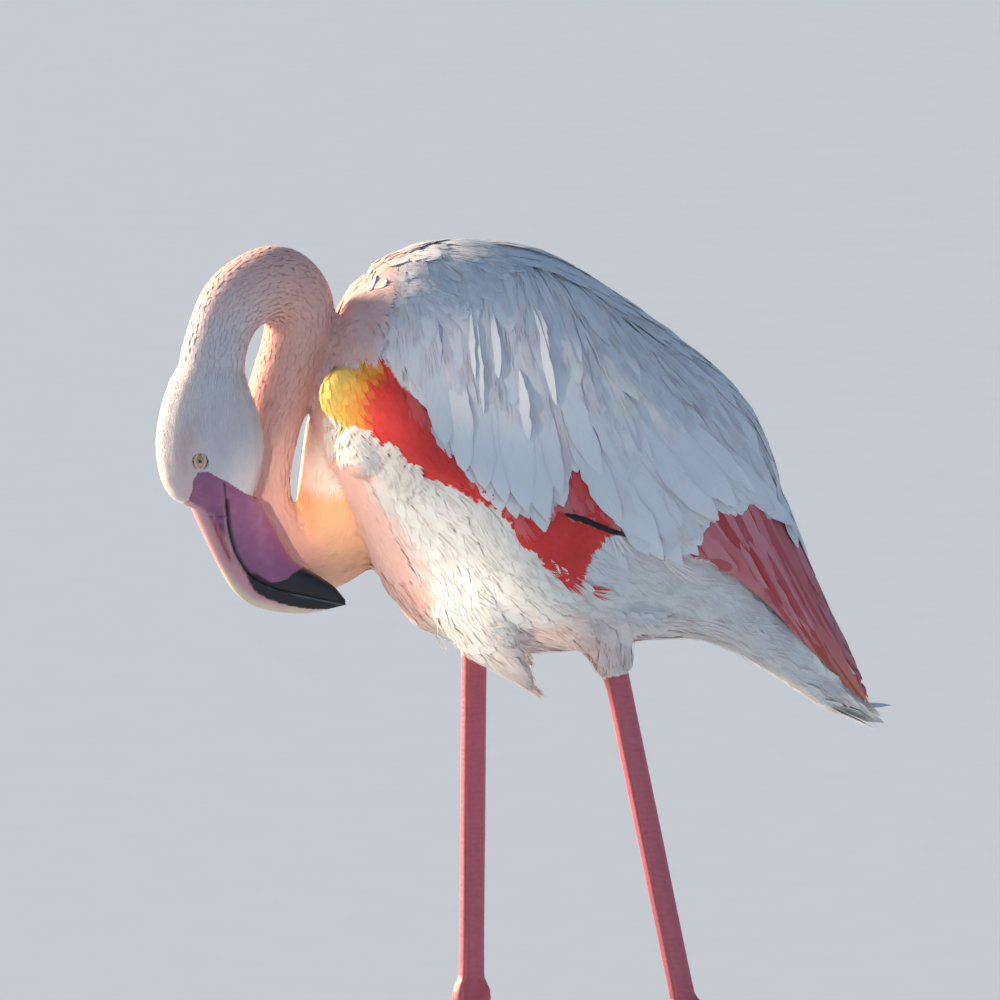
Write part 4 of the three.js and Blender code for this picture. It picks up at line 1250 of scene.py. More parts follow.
class FLAMINGO_OT_stage(bpy.types.Operator):
    """Sets up the camera, the plain floor and the soft lights"""
    bl_idname = "flamingo.stage"
    bl_label = "Stage"
    target = (-0.0098, 0.0, 0.696)
    floor_half = 60.0

    def execute(self, context):
        s = settings("stage")
        camera = bpy.data.cameras.new("camera")
        camera.lens, camera.sensor_width = s.lens, 36.0
        camera.clip_end = 200.0
        away = Vector((0, -math.cos(s.elevation), math.sin(s.elevation))) * s.distance
        context.scene.camera = aimed("camera", camera, Vector(self.target) + away, self.target)

        half = self.floor_half
        corners = [(-half, -half, 0), (half, -half, 0), (half, half, 0), (-half, half, 0)]
        mesh = mesh_of("floor", np.array(corners), [[(0, 1, 2, 3)]])
        material, tree, shader = new_material("floor", {"Roughness": 0.9, "Specular IOR Level": 0.2})
        grain = grouped(tree, grain_group(), {"Size": 0.012, "Colour": (*s.floor, 1), "Patches": 0.04})
        tree.links.new(grain["Colour"], shader.inputs["Base Color"])
        mesh.materials.append(material)
        placed("floor", mesh)

        soft_light("SUN", "key", (-3.6, 1.8, 1.3), (0, 0, 0.3), s.key_power, SUN_LIGHT,
                   angle=math.radians(15))
        for name, target, way, reach, share in SPOTS:
            place = Vector(target) + Vector(way).normalized() * SPOT_DISTANCE
            soft_light("SPOT", name, place, target, s.spot_power * share, WARM_LIGHT, shadow_soft_size=0.02,
                       spot_size=2 * math.atan(reach / SPOT_DISTANCE), spot_blend=1.0)
        soft_light("AREA", "fill", (0.8, -4.5, 2.2), (0, 0, 0.6), s.fill_power, COOL_LIGHT,
                   shape="DISK", size=3.0)
        world = bpy.data.worlds.new("studio")
        world.use_nodes = True
        sky = world.node_tree.nodes["Background"]
        sky.inputs["Color"].default_value = SKY_LIGHT
        sky.inputs["Strength"].default_value = 0.38
        context.scene.world = world
        context.scene.view_settings.view_transform = "Standard"
        return {"FINISHED"}


# ---- Skin ----

def leg_tube(side, corners=48, rings=160):
    """The leg's round form from the thigh to the foot."""
    line = smooth_line(np.hstack((LEG_PATHS[side], LEG_HALVES)), rings) * MM
    turn = np.linspace(0, 2 * math.pi, corners, endpoint=False)
    x, y = line[:, 4:5] * np.cos(turn), line[:, 3:4] * np.sin(turn)
    flat = np.stack((x, y, 0 * x), -1)
    return tube_mesh("leg_tube", line[:, None, :3] + flat)


def leg_solid(side):
    """One leg from the thigh to the toes, smooth, with its sole flat on the floor."""
    names = [name for name in LEG_NODES if name.endswith(side)]
    mesh = remade(together(node_mesh(names, 0.2 * MM), leg_tube(side)), LEG_GRID, 7)
    surface = surface_of(mesh)
    points = surface.points.copy()
    points -= surface.normals * scale_grooves(points, surface.normals)[:, None] * GROOVE_DEPTH
    points[:, 2] = np.where(points[:, 2] < SOLE_HEIGHT, 0, points[:, 2])
    mesh.vertices.foreach_set("co", points.astype(np.float32).ravel())
    mesh.update()
    return mesh


def leg_round(normals):
    """How far round the leg each place faces, in turns, 0 at the front."""
    return np.arctan2(normals[:, 1], -normals[:, 0]) / (2 * math.pi)


def scale_grooves(places, normals):
    """How deep the grooves between the scales are at each place on a leg, as a share of the deepest."""
    size = settings("legs").scale
    turn = leg_round(normals)
    z = places[:, 2]
    row = z / size + 0.5 * wander(places, 0.02, 5) + 0.25 * np.sin(turn * 2 * math.pi)
    band = np.abs(row - np.round(row))
    across = turn * 5 + 0.5 * (np.floor(row) % 2) + 0.15 * wander(places, 0.012, 7)
    gap = np.abs(across - np.round(across))
    worn = 0.35 + 0.65 * step_between(-0.4, 0.6, wander(places, 0.015, 15))
    groove = (np.maximum(1 - band / 0.2, 0) * 0.6 + np.maximum(1 - gap / 0.12, 0) * 0.25) * worn
    seam = np.exp(-((np.abs(turn) - 0.17) / 0.022) ** 2) * step_between(0.06, 0.10, z)
    return np.clip(groove * step_between(0.02, 0.035, z) + seam * 0.9, 0, 1)


def coat_depth(places, names):
    """How far the skin lies inside the bird's outline at each place, in metres."""
    depth = np.full(len(places), 2.2)
    depth[named(names, "neck")] = 0.7
    depth[names == "head"] = 1.1
    depth[named(names, "scapulars")] = 2.0
    depth[red_wing(places, names) | in_velvet(places, names)] = 0.8
    depth[named(names, "bill")] = 2.4
    return depth * MM


def sunk(surface, depth, smoothing=4):
    """The surface moved inwards, but never through a thin part."""
    thin = surface.thickness(surface.points, surface.normals, 0.06)
    depth = np.minimum(depth, thin * THIN_SHARE)
    edges = np.vstack((surface.triangles[:, :2], surface.triangles[:, 1:], surface.triangles[:, ::2]))
    count = np.bincount(edges.ravel(), minlength=len(depth))
    for _ in range(smoothing * 3):
        total = np.bincount(edges[:, 0], depth[edges[:, 1]], len(depth))
        total += np.bincount(edges[:, 1], depth[edges[:, 0]], len(depth))
        depth = total / np.maximum(count, 1)
    return surface.points - surface.normals * depth[:, None]


def eye_centres():
    """The middle of each eyeball, from its solid."""
    return {side: np.array(sum(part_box(f"eye_{side}"), Vector())) / 2 for side in SIDES}


def eye_distance(places, centre):
    """How far each place is from an eye in mm, on tall ovals; 99 on the other side of the head."""
    away = (places - centre) / MM
    far = np.hypot(away[:, 0] / 0.74, away[:, 2])
    return np.where(np.sign(places[:, 1] - HEAD_Y * MM) == np.sign(centre[1] - HEAD_Y * MM), far, 99)


def face_form(points, normals):
    """Draws the eye sockets, lids and the corner of the mouth into the head's skin."""
    moved = points.copy()
    for centre in eye_centres().values():
        far = eye_distance(points, centre)
        socket = np.exp(-(far / 4.2) ** 4) * 2.4 - np.exp(-((far - 6.6) / 2.2) ** 2) * 0.3
        moved -= normals * (socket * MM)[:, None]
    gape = np.exp(-(line_distance(MOUTH, points) / 0.8) ** 2) * bare_face(points)
    return moved - normals * (gape * 0.8 * MM)[:, None]


def crossing(places):
    """0 on the body's side of the line where its skin meets the head's finer skin, 1 on the head's side."""
    return 1 - step_between(0.34, 0.40, neck_share(places))


def head_solid():
    """The head's skin: inside its outline by its short feathers, with sockets and the corner of the mouth."""
    surface = head_outline()
    names = node_names(surface.points)
    depth = coat_depth(surface.points, names)
    depth = np.where(bare_face(surface.points), 0.25 * MM, depth)
    sink = step_between(0, 13, 706 - surface.points[:, 2] / MM)
    depth = depth + sink * 2.2 * MM + CROSSING_SINK * (1 - crossing(surface.points)) * named(names, "neck_4")
    points = face_form(sunk(surface, depth, 3), surface.normals)
    return mesh_of("head_skin", points, [surface.triangles])


def body_solid():
    """The skin of the body and neck, inside their outline by the depth of the coat."""
    surface = outline()
    names = node_names(surface.points)
    depth = coat_depth(surface.points, names)
    depth = depth + CROSSING_SINK * crossing(surface.points) * named(names, "neck_4", "head")
    return mesh_of("body_skin", sunk(surface, depth), [surface.triangles])


def skin_marks(places, normals):
    """The skin's colour: the markings of its coat, the bare face, and the legs, with painted shade in the
    grooves between their scales.
    """
    colour = markings(places)
    skin, joint_skin = shades("legs", "skin joint")
    face = bare_face(places) & (neck_share(places) < 0.1)
    left = places[:, 0] / MM < np.interp(places[:, 2] / MM, *np.array(MOUTH[::-1]).T[::-1])
    for part, group in {"upper": face & left, "lower": face & ~left}.items():
        colour[group] = bill_colours(places[group], part)
    leg = (places[:, 2] < LEG_TOP) & np.isin(node_names(places), LEG_NODES)
    if leg.any():
        spots, ways = places[leg], normals[leg]
        ankle = np.exp(-((spots[:, 2] - 0.334) / 0.022) ** 2)
        joint = ankle * 0.6 + step_between(0.035, 0.01, spots[:, 2]) * 0.4
        tone = mixed(skin, joint_skin, np.clip(joint + 0.25 * wander(spots, 0.03, 6), 0, 1))
        # Painted shade: darker in the grooves between the scales.
        colour[leg] = tone * (1 - 0.22 * scale_grooves(spots, ways))[:, None]
    return colour, np.where(leg, 1, np.where(face, 2, 0))


class FLAMINGO_OT_skin(bpy.types.Operator):
    """Makes the one skin that stands for all the bird's flesh, feet included"""
    bl_idname = "flamingo.skin"
    bl_label = "Skin"

    def execute(self, context):
        mesh = joined_solid(body_solid(), head_solid(), *(leg_solid(side) for side in SIDES))
        mesh.name = "skin"
        surface = surface_of(mesh)
        colour, kind = skin_marks(surface.points, surface.normals)
        while mesh.color_attributes:
            mesh.color_attributes.remove(mesh.color_attributes[0])
        add_colour(mesh, "Marking", colour)
        mesh.materials.clear()
        for name in ("skin", "leg", "bill"):
            mesh.materials.append(grained_material(name))
        first = field(mesh.polygons, "loop_start", kind=np.int32)
        mesh.polygons.foreach_set("material_index", kind[corners_of(mesh)[first]].astype(np.int32))
        mesh.shade_smooth()
        print("skin:", len(surface.triangles), "triangles")
        standing(mesh, (), FLESH)
        return {"FINISHED"}


# ---- Bill ----

def bill_lines(count):
    """The bill's lines in metres, evenly drawn: culmen, mouth, keel, and the upper and lower half widths."""
    lines = [smooth_line(line, count) * MM for line in (CULMEN, MOUTH, KEEL)]
    halves = [smooth_line(np.array(half)[:, None], count)[:, 0] * MM for half in (UPPER_HALF, LOWER_HALF)]
    return lines + halves


def bill_colours(places, part):
    """Mauve skin, rosier and paler on the ridge, and black on the outer part with an uneven edge; painted
    shade darkens the nostril slit and the gap of the mouth.
    """
    rosy_tint, mauve, pale, red, cream, dark = shades(
        "head", "bill_rose bill_mauve bill_pale bill_red bill_cream bill_black")
    x, z = side_view(places)
    ragged = 1.3 * wander(places, 0.010, 8) + 0.8 * wander(places, 0.003, 9)
    upper = part == "upper"
    black = step_between(-0.9, 0.9, x + ragged - read_off(BLACK_EDGE[part], z))
    mouth_far = line_distance(MOUTH, places)
    wedge = step_between(700, 650, z) * 2.2
    black = np.maximum(black, step_between(0.5, -0.5, mouth_far - wedge - 0.2) * (not upper)) * (z < 708)
    ridge_far = line_distance(CULMEN, places)
    reach = np.interp(z, (655, 676, 688, 695, 701, 708, 714), (30, 16, 12, 10, 7, 2, -3))
    reach = reach + 1.5 * wander(places, 0.006, 16)
    rosy = step_between(reach + 2.5, reach - 2.5, ridge_far) * upper
    colour = mixed(mauve, rosy_tint, rosy * step_between(0.5, 4, mouth_far))
    ridge = np.exp(-(ridge_far / 4.5) ** 2) * upper
    lips = np.exp(-((mouth_far - 2.0) / 0.8) ** 2) * upper * step_between(706, 690, z)
    knob = np.exp(-((np.hypot(x - NOSTRIL[0][0], z - NOSTRIL[0][1]) - 2.2) / 1.1) ** 2) * upper
    soft = np.clip(ridge * 0.7 * rosy + lips * 0.9 + knob * 0.7 + 0.15 * wander(places, 0.01, 10), 0, 1)
    colour = mixed(colour, pale, soft * 0.75)
    nostril_far = line_distance(NOSTRIL, places)
    colour = mixed(colour, red, np.exp(-(nostril_far / 2.1) ** 2) * upper * 0.7)
    outer = step_between(664, 644, z) * upper * np.exp(-(ridge_far / 6.0) ** 4)
    colour = mixed(colour, cream, outer * 0.85)
    # Painted shade: darker along the nostril slit and along the gap of the mouth between the halves.
    colour = colour * (1 - 0.55 * upper * np.exp(-(nostril_far / 0.6) ** 2))[:, None]
    colour = colour * (1 - 0.8 * np.exp(-(mouth_far / 0.7) ** 2))[:, None]
    glint = np.exp(-((mouth_far - 1.3) / 0.4) ** 2) * upper * step_between(-184, -176, x)
    tip = mixed(dark, np.array((0.16, 0.18, 0.19)), glint * 0.8)
    return mixed(colour, tip, black)


def mandible(part, rings=220, corners=88):
    """One half of the bill: a closed solid between its ridge line and the mouth line."""
    culmen, mouth, keel, upper_half, lower_half = bill_lines(rings)
    upper = part == "upper"
    outer, half = (culmen, upper_half) if upper else (keel, lower_half)
    share = np.linspace(0, 1, rings)
    turn = np.linspace(0, 2 * math.pi, corners, endpoint=False)
    sine, cosine = np.sin(turn), np.cos(turn)
    depth = np.linalg.norm(outer - mouth, axis=1)
    # A section is rounded over the ridge and nearly flat along the mouth.
    power = 0.72 if upper else 0.62
    across = np.sign(cosine) * np.abs(cosine) ** power
    over = np.where(sine > 0, np.abs(sine) ** 0.85, 0)
    middle = mouth[:, None] + (outer - mouth)[:, None] * over[None, :, None]
    y = half[:, None] * across[None] * (1 - 0.18 * over[None] ** 2)
    groove = np.exp(-((over[None] - 0.30) / 0.08) ** 2) * np.exp(-((share[:, None] - 0.27) / 0.16) ** 4)
    nostril = np.exp(-((over[None] - 0.34) / 0.05) ** 2) * np.exp(-((share[:, None] - 0.23) / 0.035) ** 4)
    lip = np.exp(-((over[None] - 0.05) / 0.05) ** 2) * step_between(0.02, 0.1, share)[:, None]
    if upper:
        y = y - np.sign(y) * (groove * 1.5 + nostril * 2.2 - lip * 0.6) * MM * (sine[None] > 0)
    else:
        ridged = np.exp(-((over[None] - 0.12) / 0.06) ** 2) * step_between(0.05, 0.2, share)[:, None]
        y = y - np.sign(y) * ridged * 0.5 * MM
    inset = np.where(sine < 0, np.abs(sine) ** 0.8, 0)[None] * np.minimum(depth * 0.06, 0.6 * MM)[:, None]
    inward = unit(outer - mouth)
    flat = middle + inward[:, None] * inset[..., None]
    points = np.stack((flat[..., 0], HEAD_Y * MM + y, flat[..., 1]), -1)
    mesh = tube_mesh(f"bill_{part}_horn", points)
    add_colour(mesh, "Marking", bill_colours(points.reshape(-1, 3), part))
    return mesh


class FLAMINGO_OT_bill(bpy.types.Operator):
    """Makes the two halves of the bill with their nostril groove and lips"""
    bl_idname = "flamingo.bill"
    bl_label = "Bill"

    def execute(self, context):
        for part in ("upper", "lower"):
            standing(mandible(part), [grained_material("bill")], (f"bill_{part}",))
        return {"FINISHED"}


# ---- Eyes ----

class FLAMINGO_OT_eyes(bpy.types.Operator):
    """Makes the eyeballs and the bare rims of the lids"""
    bl_idname = "flamingo.eyes"
    bl_label = "Eyes"

    def execute(self, context):
        for side, centre in eye_centres().items():
            outward = unit(np.array((-0.06, float(SIDES[side]), 0.0)))
            self.eyeball(side, centre, outward)
            self.lid(side, centre, outward)
        return {"FINISHED"}

    @staticmethod
    def around(outward):
        up = in_plane(UP[None], outward[None])[0]
        return np.cross(outward, up), up

    def eyeball(self, side, centre, outward, rings=40, corners=48):
        radius = settings("head").eye_radius
        right, up = self.around(outward)
        tilt = np.linspace(0.001, math.pi - 0.001, rings)
        turn = np.linspace(0, 2 * math.pi, corners, endpoint=False)
        bulge = radius * (1 + 0.05 * np.exp(-(tilt / 0.5) ** 2))
        out = (np.cos(tilt) * bulge)[:, None] * np.ones(corners)
        ring = (np.sin(tilt) * bulge)[:, None]
        points = centre + out[..., None] * outward + (ring * np.cos(turn))[..., None] * right \
            + (ring * np.sin(turn))[..., None] * up
        mesh = tube_mesh(f"eyeball_{side}", points)
        share = np.sin(tilt) * np.sign(np.cos(tilt)).clip(0) + (np.cos(tilt) < 0)
        add_value(mesh, "Ring", np.repeat(share, corners))
        add_value(mesh, "Turn", np.tile(turn, rings))
        standing(mesh, [self.eye_material()], (f"eye_{side}",))

    @functools.lru_cache(None)
    def eye_material(self):
        material, tree, shader = new_material(
            "eye", {"Roughness": 0.08, "Coat Weight": 1.0, "Coat Roughness": 0.03, "Specular IOR Level": 0.5})
        ring, turn = attribute(tree, "Ring", "Fac"), attribute(tree, "Turn", "Fac")
        ray = node(tree, "ShaderNodeCombineXYZ", {0: maths(tree, "MULTIPLY", turn, 9.0),
                                                  1: maths(tree, "MULTIPLY", ring, 3.0)})
        fibres = node(tree, "ShaderNodeTexNoise", {"Vector": ray.outputs[0], "Scale": 2.0, "Detail": 4.0})
        gain = maths(tree, "MULTIPLY_ADD", fibres.outputs[0], 0.5, 0.72)
        iris = lightened(tree, (*settings("head").iris, 1), gain)
        pupil = node(tree, "ShaderNodeMapRange", {0: ring, 1: 0.22, 2: 0.28, 3: 1.0, 4: 0.0})
        rim = node(tree, "ShaderNodeMapRange", {0: ring, 1: 0.74, 2: 0.90, 3: 0.0, 4: 1.0})
        colour = blended(tree, pupil.outputs[0], iris, (0.006, 0.005, 0.006, 1))
        colour = blended(tree, rim.outputs[0], colour, (0.20, 0.12, 0.08, 1))
        tree.links.new(colour, shader.inputs["Base Color"])
        return material

    def lid(self, side, centre, outward, turns=72, corners=16):
        """The bare rim: a soft ring drawn to a point at the front and back, folded over the eyeball."""
        radius = settings("head").eye_radius
        right, up = self.around(outward)
        turn = np.linspace(0, 2 * math.pi, turns, endpoint=False)
        across = radius * 0.46 * np.cos(turn) * (1 - 0.34 * np.sin(turn) ** 2)
        high = radius * 0.94 * np.sin(turn)
        out = np.sqrt(np.maximum(radius**2 * 1.02 - across**2 - high**2, (radius * 0.30) ** 2)) + 0.25 * MM
        spine = centre + out[:, None] * outward + across[:, None] * right + high[:, None] * up
        away = unit(across[:, None] * right + high[:, None] * up)
        round_ = np.linspace(0, 2 * math.pi, corners, endpoint=False)
        thick = 0.5 * MM * (1 + 0.12 * np.sin(turn * 23)[:, None] * (np.cos(round_) > 0))
        reach = (thick * 2.5 * (0.72 + np.cos(round_)))[..., None]
        points = spine[:, None] + away[:, None] * reach \
            + outward * (thick * (np.sin(round_) - 1.2 * (1 + np.cos(round_))))[..., None]
        grid = np.arange(turns * corners).reshape(turns, corners)
        ahead = np.roll(grid, -1, 0)
        quads = np.stack((grid, ahead, np.roll(ahead, -1, 1), np.roll(grid, -1, 1)), -1).reshape(-1, 4)
        mesh = mesh_of(f"lid_{side}", points.reshape(-1, 3), [quads])
        inner = np.tile(np.clip(-np.cos(round_), 0, 1), turns)[:, None]
        add_colour(mesh, "Marking", np.array(settings("head").lid) * (1 - 0.6 * inner**2))
        standing(mesh, [grained_material("lid")])


# ---- Claws ----

class FLAMINGO_OT_claws(bpy.types.Operator):
    """Gives the claws a smooth rounded horn in place of their faceted solids"""
    bl_idname = "flamingo.claws"
    bl_label = "Claws"

    def execute(self, context):
        material = grained_material("claw", (*settings("legs").horn, 1))
        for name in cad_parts:
            if name.startswith("claw"):
                mesh = remade(node_mesh([name], 0.1 * MM), CLAW_GRID, 3)
                mesh.name = name + "_horn"
                mesh.materials.clear()
                mesh.shade_smooth()
                standing(mesh, [material], (name,))
        return {"FINISHED"}


# ---- Plumage ----

def hem_distance(line, places, way, most=0.2, step=0.004):
    """How far a feather can run from each place before it crosses a hem, seen from the side."""
    spots = places.copy()
    far = np.zeros(len(places))
    going = above(line, spots)
    while going.any() and far.max() < most:
        spots += way(spots, None) * step * going[:, None]
        far += step * going
        going &= above(line, spots)
    return far


def within(places, *starts):
    """True over the solids whose names start with any of the words."""
    return named(node_names(places), *starts)


def rooted(surface, wanted, spacing, seed, hem, way, least, most=0.2, front=-math.inf):
    """Roots with room above a hem for a feather, their normals, and how far one can run from each."""
    roots, normals = scattered(surface, wanted, spacing, seed)
    reach = hem_distance(hem, roots, way, most)
    keep = (reach > least) & (roots[:, 0] / MM > front)
    return roots[keep], normals[keep], reach[keep]


class FLAMINGO_OT_head_coat(bpy.types.Operator):
    """Covers the head with the smallest feathers, up to the bare face"""
    bl_idname = "flamingo.head_coat"
    bl_label = "Head feathers"

    def execute(self, context):
        surface = head_outline()
        rng = np.random.default_rng(11)
        eyes = np.array(list(eye_centres().values()))

        def wanted(places):
            clear = ~bare_face(places) & (places[:, 2] > 0.700)
            for eye in eyes:
                clear &= eye_distance(places, eye) > 4.9
            return clear & within(places, "head")

        roots, normals = scattered(surface, wanted, settings("plumage").head_gap, 12)
        eye_far = np.min([eye_distance(roots, eye) for eye in eyes], axis=0)
        face_far = line_distance(FACE_LINE, roots)
        lengths = 0.0022 + 0.0034 * step_between(7, 22, eye_far) * step_between(0, 14, face_far)
        coat = Coat("head_feathers")
        add_tufts(coat, surface, roots, normals, lengths, markings(roots), rng, strands=1, fan=0,
                  half=0.00042, depth=0.0008, lift=0.1, curl=0.16, rings=2, steps=2)
        coat.piece("neck_plumage", "head_plumage", 0.8)
        return {"FINISHED"}


class FLAMINGO_OT_neck_coat(bpy.types.Operator):
    """Covers the neck with short velvety tufts"""
    bl_idname = "flamingo.neck_coat"
    bl_label = "Neck feathers"

    def execute(self, context):
        surface = outline()
        rng = np.random.default_rng(21)
        roots, normals = scattered(surface, self.wanted, settings("plumage").neck_gap, 22)
        share = np.where(within(roots, "neck"), neck_share(roots), 1)
        lengths = 0.0075 + 0.007 * step_between(0.3, 1, share)
        colours = markings(roots)
        for name, group in {"neck_feathers_upper": share < 0.5, "neck_feathers_lower": share >= 0.5}.items():
            coat = Coat(name)
            add_tufts(coat, surface, roots[group], normals[group], lengths[group], colours[group], rng,
                      strands=4, fan=0.24, half=0.0009, depth=0.0002, lift=0.0, rings=2, steps=3, ridge=0.1)
            coat.piece("neck_plumage", "neck_plumage", 0.97)
        return {"FINISHED"}

    @staticmethod
    def wanted(places):
        names = node_names(places)
        return named(names, "neck") | in_velvet(places, names)


class FLAMINGO_OT_down(bpy.types.Operator):
    """Covers the breast, belly, thighs and shoulders with soft overlapping down"""
    bl_idname = "flamingo.down"
    bl_label = "Down"

    def execute(self, context):
        surface = outline()
        rng = np.random.default_rng(31)
        roots, normals = scattered(surface, self.wanted, settings("plumage").down_gap, 32)
        names = node_names(roots)
        lengths = self.lengths(roots, names)
        colours = markings(roots, names)
        flat = ~named(names, "thigh") & ~self.in_plume(roots)
        front = roots[:, 0] / MM < DOWN_SPLIT
        for name, group in {"breast_down": front & flat, "belly_down": ~front & flat}.items():
            coat = Coat(name)
            add_vanes(coat, surface, roots[group], normals[group], lengths[group], lengths[group] * 0.24,
                      colours[group], rng, depth=0.0026, proud=0.0, rings=8, widest=0.6, notch=0.3,
                      camber=0.02, roll=0.02, thick=0.0002, jitter=0.0002)
            coat.piece("white_plumage", "down", 0.98)

        roots, normals = scattered(surface, self.wanted, settings("plumage").down_gap * 1.1, 33)
        keep = ~self.in_plume(roots)
        roots, normals = roots[keep], normals[keep]
        names = node_names(roots)
        lengths = self.lengths(roots, names) * rng.uniform(0.8, 1.3, len(roots))
        colours = markings(roots, names)
        curled = np.exp(-(np.hypot(roots[:, 0] + 0.032, roots[:, 2] - 0.645) / 0.032) ** 2)
        front = roots[:, 0] / MM < DOWN_SPLIT
        for name, group in {"loose_breast_down": front, "loose_belly_down": ~front}.items():
            coat = Coat(name)
            calm, wavy = group & (curled < 0.3), group & (curled >= 0.3)
            for kind, curl, lift in ((calm, 0.14, 0.05), (wavy, 0.4, 0.12)):
                add_tufts(coat, surface, roots[kind], normals[kind], lengths[kind], colours[kind], rng,
                          half=0.0006, depth=0.0018, lift=lift, curl=curl, proud=0.0008)
            coat.piece("white_plumage", "down", 0.9)
        self.plumes(surface)
        return {"FINISHED"}

    @staticmethod
    def in_plume(places):
        """True on the drooping tufts of the breast, which carry only loose down."""
        x, z = side_view(places)
        return (z < PLUME_TOP) & (np.abs(places[:, 1]) > 0.040) & (x > -45) & (x < 40)

    def plumes(self, surface):
        """The long soft strands of the drooping tufts, drawn to a point."""
        rng = np.random.default_rng(35)
        roots, normals = scattered(surface, lambda places: self.in_plume(places) & within(places, "trunk"),
                                   0.0042, 36)
        coat = Coat("breast_plumes")
        keep = normals[:, 2] < 0.25
        roots, normals = roots[keep], normals[keep]
        lengths = np.clip((0.024 - roots[:, 0]) * 1.3, 0.010, 0.034) * rng.uniform(0.8, 1.1, len(roots))
        lengths = lengths * np.where(roots[:, 1] > 0, 0.5, 1.0)
        add_tufts(coat, surface, roots, normals, lengths, markings(roots), rng, fan=0.14, half=0.0006,
                  depth=0.002, curl=0.08, proud=0.0006, way=self.plume_lie)
        coat.piece("white_plumage", "down", 0.9)

    @staticmethod
    def plume_lie(places, normals=None):
        return unit(np.array((0.68, 0.0, -0.73))) + 0 * places

    @staticmethod
    def lengths(roots, names):
        x, z = side_view(roots)
        rear, high = step_between(20, 120, x), step_between(780, 830, z)
        full = np.where(named(names, "thigh"), 0.020, (0.028 + 0.012 * rear) * (1 - 0.25 * high))
        above_bend = (x > -145) & (x < -60) & above(BEND_TOP, roots)
        clear = np.maximum(hem_distance(BEND_TOP, roots, body_lie, 0.04), 0.005)
        full = np.where(above_bend, np.minimum(full, clear), full)
        between = (x > -131) & (x < -60) & ~above_bend & above(COVERT_HEM, roots)
        return np.where(between, 0.005, full)

    @staticmethod
    def wanted(places):
        names = node_names(places)
        shoulder = named(names, "scapulars") & (places[:, 0] < -0.080)
        pale = (named(names, "coverts") | shoulder) & ~red_wing(places, names)
        downy = named(names, "trunk", "thigh") | pale
        over_wing = (places[:, 0] > 0.14) & above(WING_HEM, places, -12)
        return downy & (places[:, 0] > -0.143) & ~in_velvet(places, names) & ~over_wing


class FLAMINGO_OT_coverts(bpy.types.Operator):
    """Lays the small crimson and orange coverts over the bend of the wing"""
    bl_idname = "flamingo.coverts"
    bl_label = "Wing coverts"

    def execute(self, context):
        surface = outline()
        rng = np.random.default_rng(41)
        roots, normals = scattered(surface, lambda places: red_wing(places, node_names(places)), 0.0042, 42)
        x = roots[:, 0] / MM
        reach = hem_distance(COVERT_HEM, roots, body_lie, 0.05)
        lengths = np.minimum(0.012 + 0.012 * step_between(-115, -60, x), np.maximum(reach, 0.004) + 0.001)
        corner = (x > 28) & (roots[:, 2] < 0.660)
        lengths = np.where(corner, np.minimum(lengths, 0.007), lengths)
        colours = markings(roots)
        colours = colours * (1 + 0.14 * wander(roots, 0.03, 43))[:, None]
        coat = Coat("covert_feathers")
        add_tufts(coat, surface, roots, normals, lengths, colours, rng, half=0.0009, depth=0.0006, lift=0.0,
                  tips=colours * 1.1, ridge=0.1)
        self.notch(surface, coat)
        coat.piece("crimson_plumage", "crimson_plumage", 0.95)
        self.dark_edge(surface)
        self.roll(surface)
        return {"FINISHED"}

    @staticmethod
    def notch(surface, coat):
        """The longer red coverts that show between the coverlets."""
        rng = np.random.default_rng(44)

        def wanted(places):
            return in_notch(places - (0, 0, 12 * MM), node_names(places))

        roots, normals, reach = rooted(surface, wanted, 0.0055, 45, NOTCH_HEM, cape_lie, 0.006, 0.06)
        shade = step_between(0.735, 0.69, roots[:, 2] - 0.02 * rng.random(len(roots)))
        colours = mixed(*shades("plumage", "crimson rose"), shade * 0.7)
        add_vanes(coat, surface, roots, normals, np.minimum(reach + 0.002, 0.03), 0.0042, colours, rng,
                  rings=8, way=cape_lie)

    @staticmethod
    def dark_edge(surface):
        """The black edge of the flight feathers that shows under the coverlets."""
        rng = np.random.default_rng(46)
        coat = Coat("dark_feathers")
        ends = np.array(DARK_FEATHERS)
        black = np.tile(settings("plumage").black, (len(ends), 1))
        for sign in SIDES.values():
            add_vanes(coat, surface, None, None, np.full(len(ends), 0.022), ends[:, 4] * MM, black, rng,
                      depth=0.0, proud=0.002, point=0.6, camber=0.2, roll=0.12,
                      tracks=flank_tracks(surface, straight_lines(ends), sign))
        coat.piece("rose_plumage", "dark_plumage")

    @staticmethod
    def roll(surface):
        """The roll of loose white down under the bend of the wing."""
        rng = np.random.default_rng(47)

        def wanted(places):
            x, z = side_view(places)
            rolled = np.abs(z - read_off(COVERT_HEM, x) + 8) < 12
            return (x < -70) & (x > -132) & rolled & (np.abs(places[:, 1]) > 0.03)

        roots, normals = scattered(surface, wanted, 0.0040, 48)
        cream = np.tile(settings("plumage").cream, (len(roots), 1))
        coat = Coat("wing_roll_down")
        lengths = rng.uniform(0.010, 0.018, len(roots))
        add_tufts(coat, surface, roots, normals, lengths, cream, rng, strands=12, fan=0.42, lift=0.12,
                  curl=0.12, proud=0.0024, ridge=0.2)
        coat.piece("white_plumage", "down", 0.8)


